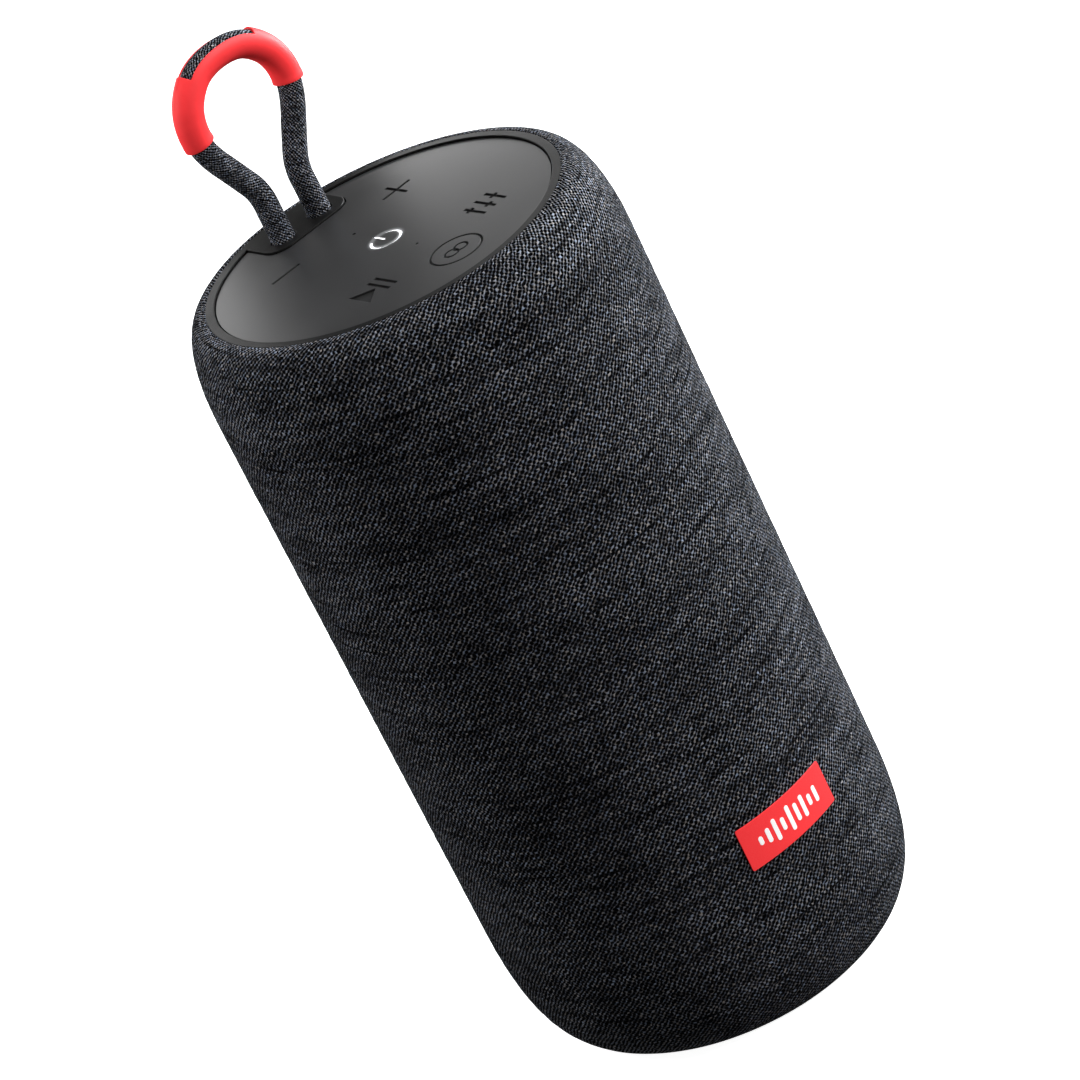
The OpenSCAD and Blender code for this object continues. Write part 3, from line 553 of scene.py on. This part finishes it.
def circle_points(cx, cy, r, count=96, start=0.0, turn=2 * math.pi):
    """Points along an arc; a full turn is left open, for a closed outline."""
    full = abs(turn - 2 * math.pi) < 1e-6
    step = turn / (count if full else count - 1)
    return [(cx + r * math.cos(start + step * i), cy + r * math.sin(start + step * i)) for i in range(count)]


def box_points(cx, cy, w, h):
    x0, x1, y0, y1 = cx - w / 2, cx + w / 2, cy - h / 2, cy + h / 2
    return [(x0, y0), (x1, y0), (x1, y1), (x0, y1)]


def round_box(w, h, r, count):
    """A rectangle with round corners of count points each."""
    found = []
    for sx, sy, a in ((1, 1, 0), (-1, 1, 90), (-1, -1, 180), (1, -1, 270)):
        found += circle_points(sx * (w / 2 - r), sy * (h / 2 - r), r, count, math.radians(a), math.pi / 2)
    return found


def tube_quads(rings, sides):
    """The faces of a tube of rings, as (ring, side, corners)."""
    for i in range(rings - 1):
        for k in range(sides):
            m = (k + 1) % sides
            yield i, k, (i * sides + k, i * sides + m, (i + 1) * sides + m, (i + 1) * sides + k)


def set_uv(obj, corners):
    """Gives the mesh its weave map, in threads."""
    layer = obj.data.uv_layers.new(name="weave")
    layer.data.foreach_set("uv", np.array(corners, np.float32).ravel())


def ride(obj, body, material, replaced):
    """Paints the piece and hands it to its body, in place of a CAD node."""
    paint(obj, MATERIALS[material])
    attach(obj, body)
    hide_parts(replaced)
    return obj


# =============================== fabric sleeve ===============================

SLEEVE_COLUMNS = 352
SLEEVE_ROWS = 250
FOLD_ROWS = 3
SLUBS_ROUND = 16
SLUB_HEIGHT = 0.025 * MM
PORT_CORNER_R = 3.2 * MM


def power_curve(a, n):
    return max(a, 0.0) ** (2 / n)


def shoulder(t):
    """Radius and height of the shoulder, from its foot at 0 to the ring at 1."""
    a = t * math.pi / 2
    return (RING_R + (BODY_R - RING_R) * power_curve(math.cos(a), SHOULDER_N),
            BODY_TOP - SHOULDER_H + SHOULDER_H * power_curve(math.sin(a), SHOULDER_N))


def heel(t):
    """Radius and height of the lower edge, from the hem at 0 to the straight side at 1."""
    a = t * math.pi / 2
    return (HEM_R + (BODY_R - HEM_R) * power_curve(math.sin(a), HEEL_N),
            HEM_Z + HEEL_H - HEEL_H * power_curve(math.cos(a), HEEL_N))


def sleeve_profile(rows):
    """The sleeve's outline from hem to ring in even steps, with the count of weft threads up to each point.
    The threads draw closer where the sleeve narrows."""
    steps = np.linspace(0, 1, 201)
    raw = np.array([heel(t) for t in steps] + [shoulder(t) for t in steps])
    gap = np.r_[0, np.cumsum(np.linalg.norm(np.diff(raw, axis=0), axis=1))]
    at = np.linspace(0, gap[-1], rows)
    points = np.c_[np.interp(at, gap, raw[:, 0]), np.interp(at, gap, raw[:, 1])]
    threads = np.r_[0, np.cumsum(np.diff(at) / (THREAD * (points[1:, 0] / BODY_R)))]
    return points, threads


def make_sleeve():
    """Fabric skin of the body, turned in at both hems, with the port's opening cut in its back."""
    columns, rows, fold = SLEEVE_COLUMNS, SLEEVE_ROWS, FOLD_ROWS
    profile, threads = sleeve_profile(rows)
    tangent = np.gradient(profile, axis=0)
    tangent /= np.linalg.norm(tangent, axis=1)[:, None]
    inner = profile - np.c_[tangent[:, 1], -tangent[:, 0]] * FABRIC_T * 0.9
    loop = np.vstack([inner[:fold][::-1], profile, inner[-fold:][::-1]])
    step = threads[1]
    weft = np.r_[-step * np.arange(fold, 0, -1), threads, threads[-1] + step * np.arange(1, fold + 1)]
    # soft swellings along the weft
    rng = np.random.default_rng(7)
    slub = np.repeat(rng.normal(0, 1, (len(loop), SLUBS_ROUND)), columns // SLUBS_ROUND, axis=1)
    for _ in range(20):
        slub = (np.roll(slub, 1, axis=1) + slub + np.roll(slub, -1, axis=1)) / 3
    verts = []
    for i, (r, z) in enumerate(loop):
        for k in range(columns):
            # the seam lies at the back, towards +Y
            angle = math.pi / 2 + 2 * math.pi * k / columns
            lift = SLUB_HEIGHT * slub[i, k] if fold <= i < fold + rows else 0
            verts.append(((r + lift) * math.cos(angle), (r + lift) * math.sin(angle), z))
    faces, corners = [], []
    across = THREADS_ROUND / columns
    for i, k, face in tube_quads(len(loop), columns):
        faces.append(face)
        u0, u1 = k * across, (k + 1) * across
        corners += [(u0, weft[i]), (u1, weft[i]), (u1, weft[i + 1]), (u0, weft[i + 1])]
    obj = add_mesh("fabric", verts, faces)
    set_uv(obj, corners)
    cut_port(obj)
    ride(obj, "housing", "body_fabric", "fabric_sleeve")


def cut_port(obj):
    """Cuts the port bezel's opening out of the sleeve."""
    centre_z = (port_low.z + port_high.z) / 2
    outline = round_box(port_high.x - port_low.x, port_high.z - port_low.z, PORT_CORNER_R, 9)
    low = [(x, BODY_R * 0.6, centre_z + y) for x, y in outline]
    high = [(x, BODY_R * 1.3, centre_z + y) for x, y in outline]
    n = len(outline)
    faces = [(i, (i + 1) % n, n + (i + 1) % n, n + i) for i in range(n)]
    faces += [tuple(range(n))[::-1], tuple(range(n, 2 * n))]
    cutter = add_mesh("port_cutter", low + high, faces, smooth=False)
    clean(cutter)
    mod = obj.modifiers.new("port", "BOOLEAN")
    mod.operation = "DIFFERENCE"
    mod.solver = "EXACT"
    mod.use_hole_tolerant = True
    mod.object = cutter
    apply_modifiers(obj)
    bpy.data.objects.remove(cutter)


# =============================== top deck ===============================

RING_GAP = 0.3 * MM
RING_T = 3.4 * MM
RING_EDGE = 0.15 * MM
SOCKET_GAP = 0.25 * MM
PANEL_T = 2 * MM
PANEL_NOTCH_GAP = 0.25 * MM
PIN_HOLE_R = 0.4 * MM
CAP_EDGE = 0.03 * MM
CAP_T = 2.4 * MM
CAP_CORE_GAP = 0.1 * MM
THIN_EDGE = 0.02 * MM
# keeps faces that meet off each other's planes
HAIR = 0.002 * MM


def notch_outline(grow, y_end):
    """The notch's edge from its right end round to its left end."""
    w, y0, r = NOTCH_HALF_W + grow, NOTCH_Y - grow, NOTCH_CORNER_R
    right = circle_points(w - r, y0 + r, r, 13, 0, -math.pi / 2)
    left = circle_points(-w + r, y0 + r, r, 13, -math.pi / 2, -math.pi / 2)
    return [(w, y_end)] + right + left + [(-w, y_end)]


def deck_outline(r, grow):
    """Circle of radius r with the notch bitten out of its rear."""
    w = NOTCH_HALF_W + grow
    y_end = math.sqrt(r * r - w * w)
    half = math.atan2(w, y_end)
    start = math.pi / 2 + half
    arc = circle_points(0, 0, r, 220, start, 2 * math.pi - 2 * half)
    return arc + notch_outline(grow, y_end)[1:-1]


def make_ring():
    """Matte ring round the panel, one piece with the notch's floor and its two cord sockets."""
    outline = circle_points(0, 0, RING_R, 256)
    hole = deck_outline(DECK_R + RING_GAP, 0)
    sockets = [circle_points(s * CORD_X, CORD_Y, CORD_R + SOCKET_GAP, 48) for s in (-1, 1)]
    ring = curve_plate("ring_top", [outline, hole] + sockets, BODY_TOP - RING_T, BODY_TOP, RING_EDGE)
    ride(ring, "housing", "ring_plastic", "top_ring")


def make_deck():
    """Control panel with its key openings and the two pin holes."""
    holes = [circle_points(x, y, KEY_R + KEY_GAP, 96) for x, y in KEYS.values()]
    holes += [circle_points(x, y, PIN_HOLE_R, 24) for x, y in (MIC_AT, LED_AT)]
    outline = deck_outline(DECK_R, PANEL_NOTCH_GAP)
    slab = curve_plate("panel_slab", [outline] + holes, DECK_TOP - PANEL_T, DECK_TOP, 0)
    ride(slab, "housing", "deck_rubber", "key_deck")


ICON_HALF = 3.7 * MM
PLAY_TIP = 0.6 * MM
PLAY_BARS = (1.4 * MM, 3.3 * MM)
POWER_OPENING = 1.7 * MM
POWER_BAR_AT = 2.2 * MM
POWER_BAR_H = 4 * MM
POWER_LIGHT_LAYER = (0.003 * MM, 0.17 * MM)


def icon_minus():
    return [box_points(0, 0, 2 * ICON_HALF, STROKE)]


def icon_plus():
    a, b = ICON_HALF, STROKE / 2
    return [[(-a, -b), (-b, -b), (-b, -a), (b, -a), (b, -b), (a, -b),
             (a, b), (b, b), (b, a), (-b, a), (-b, b), (-a, b)]]


def icon_play():
    bars = [box_points(x, 0, STROKE, 2 * ICON_HALF) for x in PLAY_BARS]
    return [[(-ICON_HALF, -ICON_HALF), (PLAY_TIP, 0), (-ICON_HALF, ICON_HALF)]] + bars


def icon_mode():
    """Three sliders, each a line with a square knob on it."""
    pitch, reach, half = 2.8, 3.5, STROKE / 2 / MM
    knob_w, knob_h, knob_heights = 0.95, 0.5, (1.6, -1.2, 0.6)
    found = []
    for i, y in enumerate(knob_heights):
        low, high = y - knob_h, y + knob_h
        right = [(half, -reach), (half, low), (knob_w, low), (knob_w, high), (half, high), (half, reach)]
        shape = right + [(-px, py) for px, py in reversed(right)]
        found.append([(((i - 1) * pitch + px) * MM, py * MM) for px, py in shape])
    return found


def icon_pair():
    """Two linked rings in a circle: the outline cut through, then the islands left standing in it."""
    c, big = 1.2 * MM, 1.7 * MM
    small = big - FINE_STROKE
    waist = math.acos(c / big)
    outside = circle_points(-c, 0, big, 48, waist, 2 * math.pi - 2 * waist)
    outside += circle_points(c, 0, big, 48, waist - math.pi, 2 * math.pi - 2 * waist)[1:-1]
    gap = 2 * c
    a = (gap * gap + small * small - big * big) / (2 * gap)
    near, far = math.acos(a / small), math.acos((gap - a) / big)
    left = circle_points(-c, 0, small, 48, near, 2 * math.pi - 2 * near)
    left += circle_points(c, 0, big, 24, math.pi + far, -2 * far)[1:-1]
    right = [(-x, -y) for x, y in left]
    rim = 5.7 * MM
    return [circle_points(0, 0, rim, 96), circle_points(0, 0, rim - FINE_STROKE, 96), outside, left, right]


def icon_power(trim):
    """Open ring and bar, each narrower by trim on every side."""
    half = FINE_STROKE / 2 - trim
    opening = POWER_OPENING + trim
    ring_out, ring_in = POWER_R + half, POWER_R - half
    a_out, a_in = math.asin(opening / ring_out), math.asin(opening / ring_in)
    ring = circle_points(0, 0, ring_out, 72, math.pi / 2 + a_out, 2 * math.pi - 2 * a_out)
    ring += circle_points(0, 0, ring_in, 72, math.pi / 2 + a_in, 2 * math.pi - 2 * a_in)[::-1]
    return [ring, box_points(0, POWER_BAR_AT, 2 * half, POWER_BAR_H - 2 * trim)]


ICONS = {
    "minus": icon_minus(), "plus": icon_plus(), "power": icon_power(-0.03 * MM),
    "play": icon_play(), "mode": icon_mode(), "pair": icon_pair(),
}


def shift(outlines, at):
    return [[(x + at[0], y + at[1]) for x, y in outline] for outline in outlines]


def make_key(name):
    """Key cap: a top layer with the icon cut through it, over a solid floor. The top's own rounded rim sinks
    into the panel's edge, so that cap and panel read as one skin."""
    x, y = KEYS[name]
    rim = circle_points(x, y, KEY_R + KEY_GAP + CAP_EDGE, 96)
    core = circle_points(x, y, KEY_R - CAP_CORE_GAP, 96)
    outlines = [rim] + shift(ICONS[name], (x, y))
    icon_floor = DECK_TOP - ICON_DEPTH
    top = curve_plate(f"key_{name}_top", outlines, icon_floor, DECK_TOP + HAIR, CAP_EDGE)
    floor = curve_plate(f"key_{name}_floor", [core], DECK_TOP - CAP_T, icon_floor + HAIR, 0)
    obj = join(f"cap_{name}", [top, floor])
    material = "power_cap" if name == "power" else "deck_rubber"
    ride(obj, f"key_{name}_body", material, f"key_{name}")


def make_power_light():
    """The lit ring and bar at the bottom of the power key's icon."""
    low, high = (DECK_TOP - ICON_DEPTH + up for up in POWER_LIGHT_LAYER)
    parts = [curve_plate(f"light_{i}", shift([o], KEYS["power"]), low, high, THIN_EDGE)
             for i, o in enumerate(icon_power(0.0))]
    obj = join("power_glow", parts)
    ride(obj, "key_power_body", "light_pipe", "power_light")


# =============================== cord loop ===============================

def loop_points():
    """The points of the cord's route over the ring, from one side to the other."""
    top = LOOP_HALF + [CROWN] + [(-x, h) for x, h in reversed(LOOP_HALF)]
    return [Vector((x * MM, CORD_Y, BODY_TOP + h * MM)) for x, h in top]


def smooth_route(points, per_span):
    """Catmull-Rom curve through the points."""
    padded = [2 * points[0] - points[1]] + points + [2 * points[-1] - points[-2]]
    found = []
    for i in range(1, len(padded) - 2):
        a, b, c, d = padded[i - 1:i + 3]
        first, second, third = c - a, 2 * a - 5 * b + 4 * c - d, 3 * b - a - 3 * c + d
        for k in range(per_span):
            t = k / per_span
            found.append(b + 0.5 * (first * t + second * t * t + third * t ** 3))
    found.append(points[-1])
    return found


def even_steps(points, count):
    """The route as count points in even steps, and its length."""
    gap = [0.0]
    for a, b in zip(points, points[1:]):
        gap.append(gap[-1] + (b - a).length)
    at = np.linspace(0, gap[-1], count)
    axes = [np.interp(at, gap, [p[i] for p in points]) for i in range(3)]
    return [Vector(p) for p in zip(*axes)], gap[-1]


def tube_frames(points):
    """Tangent and two cross directions at each point of a route that lies in one upright plane."""
    found = []
    for i in range(len(points)):
        t = (points[min(i + 1, len(points) - 1)] - points[max(i - 1, 0)]).normalized()
        found.append((t, t.cross(Vector((0, 1, 0))).normalized(), Vector((0, 1, 0))))
    return found


def tube_verts(centres, frames, radii, sides):
    verts = []
    for c, (_, side, out), r in zip(centres, frames, radii):
        for k in range(sides):
            a = 2 * math.pi * k / sides
            verts.append(c + r * (math.cos(a) * side + math.sin(a) * out))
    return verts


def make_cord():
    """One fabric cord from inside one socket, up round the loop, and into the other."""
    feet = [Vector((CORD_X, CORD_Y, BODY_TOP + h * MM)) for h in (-CORD_UNDER, 0, CORD_UPRIGHT)]
    other = [Vector((-p.x, p.y, p.z)) for p in reversed(feet)]
    rings, sides, around = 420, 48, CORD_THREADS_ROUND
    centres, length = even_steps(smooth_route(feet + loop_points() + other, 12), rings)
    verts = tube_verts(centres, tube_frames(centres), [CORD_R] * rings, sides)
    step = length / (rings - 1) / (2 * math.pi * CORD_R / around)
    faces, corners = [], []
    for i, k, face in tube_quads(rings, sides):
        faces.append(face)
        u0, u1 = k * around / sides, (k + 1) * around / sides
        corners += [(u0, i * step), (u1, i * step), (u1, (i + 1) * step), (u0, (i + 1) * step)]
    faces += [tuple(range(sides))[::-1], tuple((rings - 1) * sides + k for k in range(sides))]
    corners += [(0, 0)] * (2 * sides)
    obj = add_mesh("cord", verts, faces)
    set_uv(obj, corners)
    paint(obj, MATERIALS["cord_fabric"])
    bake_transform(obj)
    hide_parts("cord_loop", "cord_ends")
    return obj, centres


GRIP_LOW = BODY_TOP + 26.6 * MM
GRIP_LIP = 0.06 * MM
GRIP_LIP_RINGS = 3
WINDOW_HALF_W = 7.5 * MM
WINDOW_EDGE = math.radians(37.5)
GRIP_FIT = 0.02 * MM
GRIP_BEVEL = 0.12 * MM


def make_grip():
    """Moulded sleeve on the crown of the loop, with a window in its outer side and a lip at each end."""
    crown = [p for p in smooth_route(loop_points(), 12) if p.z > GRIP_LOW]
    rings, sides = 97, 96
    centres, _ = even_steps(crown, rings)
    frames = tube_frames(centres)
    radii = [GRIP_R + (GRIP_LIP if min(i, rings - 1 - i) < GRIP_LIP_RINGS else 0) for i in range(rings)]
    verts = tube_verts(centres, frames, radii, sides)
    centre = Vector((0, CORD_Y, BODY_TOP + LOOP_CENTRE_H))
    faces = []
    for i, k, face in tube_quads(rings, sides):
        mid = (centres[i] + centres[i + 1]) / 2
        a = 2 * math.pi * (k + 0.5) / sides
        _, side, out = frames[i]
        direction = math.cos(a) * side + math.sin(a) * out
        lift = math.asin(max(-1, min(1, direction.dot((mid - centre).normalized()))))
        if abs(mid.x) >= WINDOW_HALF_W or mid.z <= centre.z or lift <= WINDOW_EDGE:
            faces.append(face)
    obj = add_mesh("grip", verts, faces)
    work = bmesh.new()
    work.from_mesh(obj.data)
    loose = [v for v in work.verts if not v.link_faces]
    bmesh.ops.delete(work, geom=loose, context="VERTS")
    bmesh.ops.recalc_face_normals(work, faces=work.faces)
    work.to_mesh(obj.data)
    work.free()
    solid = obj.modifiers.new("wall", "SOLIDIFY")
    solid.thickness = GRIP_R - CORD_R - GRIP_FIT
    solid.offset = -1
    add_bevel(obj, GRIP_BEVEL, 3, 50)
    apply_modifiers(obj)
    clean(obj, 50)
    # the satin panel under it shows no red
    obj.visible_glossy = False
    ride(obj, "loop", "red_rubber", "loop_grip")
    return obj


# =============================== label ===============================

BAR_HEIGHTS = (2, 3.4, 5.2, 3, 6, 4.2, 5.2, 2.6, 3.8)
BAR_PITCH = 2 * MM
BAR_W = 1 * MM
BEND_STEP = 0.6 * MM
LABEL_CORNER_R = 0.4 * MM
LABEL_EDGE = 0.06 * MM
CLOTH_LAYER = (BODY_R + 0.02 * MM, BODY_R + 0.35 * MM)
INK_LAYER = (BODY_R + 0.345 * MM, BODY_R + 0.42 * MM)


def wall_plate(name, outlines, r_in, r_out, z_mid, edge):
    """A plate bent round the body's front, from outlines in (across, up)."""
    flat = curve_plate(name, outlines, 0, r_out - r_in, edge)
    work = bmesh.new()
    work.from_mesh(flat.data)
    count = int(max(abs(v.co.x) for v in work.verts) / BEND_STEP)
    for i in range(-count, count + 1):
        geom = work.verts[:] + work.edges[:] + work.faces[:]
        bmesh.ops.bisect_plane(work, geom=geom, plane_co=(i * BEND_STEP, 0, 0), plane_no=(1, 0, 0), dist=1e-7)
    for v in work.verts:
        angle = v.co.x / r_out
        r = r_in + v.co.z
        v.co = Vector((r * math.sin(angle), -r * math.cos(angle), z_mid + v.co.y))
    work.to_mesh(flat.data)
    work.free()
    clean(flat, FLAT_ANGLE)
    return flat


def make_label():
    """Small cloth label with generic level bars printed on it."""
    w, h = label_high.x - label_low.x, label_high.z - label_low.z
    z_mid = (label_low.z + label_high.z) / 2
    plate = wall_plate("label_plate", [round_box(w, h, LABEL_CORNER_R, 7)], *CLOTH_LAYER, z_mid, LABEL_EDGE)
    ride(plate, "housing", "label_red", "label")
    bars = []
    for i, tall in enumerate(BAR_HEIGHTS):
        x = (i - (len(BAR_HEIGHTS) - 1) / 2) * BAR_PITCH
        outline = [(x + px, py) for px, py in round_box(BAR_W, tall * MM, 0.48 * BAR_W, 7)]
        bars.append(wall_plate(f"bar_{i}", [outline], *INK_LAYER, z_mid, THIN_EDGE))
    ride(join("label_bars", bars), "housing", "white_ink", "label_mark")


# =============================== CAD nodes that stay ===============================

SLOT_OF = {s["node"]: s["material_slot"] for s in frame["record"]["subparts"]}


def soften(node, width):
    """Rounds a CAD node's edges for the light, without changing its mesh."""
    obj = frame["nodes"][node]
    weld = obj.modifiers.new("weld", "WELD")
    weld.merge_threshold = 0.004 * MM
    flat = obj.modifiers.new("flat", "DECIMATE")
    flat.decimate_type = "DISSOLVE"
    flat.angle_limit = math.radians(1)
    add_bevel(obj, width, 2, 40)


SOFT_EDGES = {
    "port_bezel": 0.15 * MM, "port_cover": 0.12 * MM, "base_cup": 0.15 * MM, "foot_pad": 0.2 * MM,
}


def paint_nodes():
    for node, obj in frame["nodes"].items():
        if not obj.hide_render:
            paint(obj, MATERIALS[SLOT_OF[node]])
    for node, width in SOFT_EDGES.items():
        soften(node, width)


# =============================== stage ===============================

# a hair under the foot, so that the two faces don't share a plane
FLOOR_Z = -0.02 * MM
FLOOR_HALF_W = 6
WALL_TOP = 12


def make_stage():
    """A white floor and walls: bright for the eye, but throwing no light up at the dark underside."""
    w = FLOOR_HALF_W
    corners = [(x, y, FLOOR_Z) for x, y in ((-w, -w), (w, -w), (w, w), (-w, w))]
    floor = add_mesh("floor", corners, [(0, 1, 2, 3)], smooth=False)
    sides = [(i, (i + 1) % 4, (i + 1) % 4 + 4, i + 4) for i in range(4)]
    wall = add_mesh("backdrop", corners + [(x, y, WALL_TOP) for x, y, _ in corners], sides, smooth=False)
    n = Nodes("floor_white")
    soft = n.noise(n.object_coords(), 3.0, 2.0, 0.5)
    tint = n.mix(n.ramp(soft, 0.3, 0.7), (0.9, 0.9, 0.9, 1), (0.92, 0.92, 0.92, 1))
    n.glow((1, 1, 1, 1), 0.95)
    white = n.finish(tint, 0.9, Specular_IOR_Level=0.0)
    for obj in (floor, wall):
        paint(obj, white)
        obj.visible_diffuse = False
        obj.visible_glossy = False
    wall.visible_shadow = False
    world = bpy.data.worlds.new("studio")
    world.use_nodes = True
    background = world.node_tree.nodes["Background"]
    background.inputs["Color"].default_value = (1, 1, 1, 1)
    background.inputs["Strength"].default_value = 0.12
    bpy.context.scene.world = world
    bpy.context.scene.view_settings.view_transform = "Standard"


def area_light(name, at, target, size, power, color=(1, 1, 1), mirrored=True):
    """A soft light of size (across, up), aimed at its target. Not mirrored, it shows in no reflection."""
    data = bpy.data.lights.new(name, "AREA")
    data.shape = "RECTANGLE"
    data.size, data.size_y = size
    data.energy = power
    data.color = color
    obj = bpy.data.objects.new(name, data)
    obj.location = at
    obj.rotation_euler = (Vector(target) - Vector(at)).to_track_quat("-Z", "Y").to_euler()
    obj.visible_camera = False
    obj.visible_glossy = mirrored
    bpy.context.scene.collection.objects.link(obj)


def at_angle(azimuth, elevation, distance):
    """A point seen from the body's middle at an azimuth and elevation in degrees."""
    a, e = math.radians(azimuth), math.radians(elevation)
    flat = distance * math.cos(e)
    return flat * math.sin(a), -flat * math.cos(a), BODY_TOP / 2 + distance * math.sin(e)


def behind(across, back, up):
    """A point by the deck's centre, in the camera's directions: to its right, away from it, and up."""
    c, sn = math.cos(CAMERA_AZIMUTH), math.sin(CAMERA_AZIMUTH)
    return Vector((across * c - back * sn, across * sn + back * c, BODY_TOP + up))


def make_lights():
    middle = (0, 0, BODY_TOP / 2)
    deck = Vector((0, 0, BODY_TOP))
    area_light("key_right", at_angle(92, 20, 0.7), middle, (0.3, 0.5), 10.3, (0.93, 0.965, 1.0))
    area_light("rim_left", at_angle(-125, 38, 0.32), deck, (0.15, 0.15), 0.62, mirrored=False)
    area_light("fill_front", at_angle(38, 32, 1.5), middle, (0.8, 0.8), 27)
    area_light("top_soft", (0.0, 0.0, 0.9), deck, (0.5, 0.5), 1.4)
    # two low strips behind the deck, for the sheen across the panel
    area_light("back_right", behind(0.078, 0.12, 0.019), behind(0.078, 0, 0.019), (0.14, 0.026), 0.045)
    area_light("back_left", behind(-0.073, 0.12, 0.038), behind(-0.05, 0, 0.018), (0.08, 0.05), 0.03)


def make_camera():
    flat = CAMERA_DISTANCE * math.cos(CAMERA_ELEVATION)
    at = Vector((flat * math.sin(CAMERA_AZIMUTH), -flat * math.cos(CAMERA_AZIMUTH),
                 BODY_TOP / 2 + CAMERA_DISTANCE * math.sin(CAMERA_ELEVATION)))
    data = bpy.data.cameras.new("camera")
    data.lens = CAMERA_LENS
    data.sensor_width = CAMERA_SENSOR
    data.clip_start = 0.01
    camera = bpy.data.objects.new("camera", data)
    look = (CAMERA_AIM - at).to_track_quat("-Z", "Y").to_matrix()
    roll = Matrix.Rotation(CAMERA_ROLL, 3, "Z")
    camera.matrix_world = Matrix.Translation(at) @ (look @ roll).to_4x4()
    bpy.context.scene.collection.objects.link(camera)
    bpy.context.scene.camera = camera


# =============================== build ===============================

make_camera()
cord, cord_path = make_cord()
grip = make_grip()
make_sleeve()
make_ring()
make_deck()
for key_name in KEYS:
    make_key(key_name)
make_power_light()
make_label()
paint_nodes()
make_stage()
make_lights()
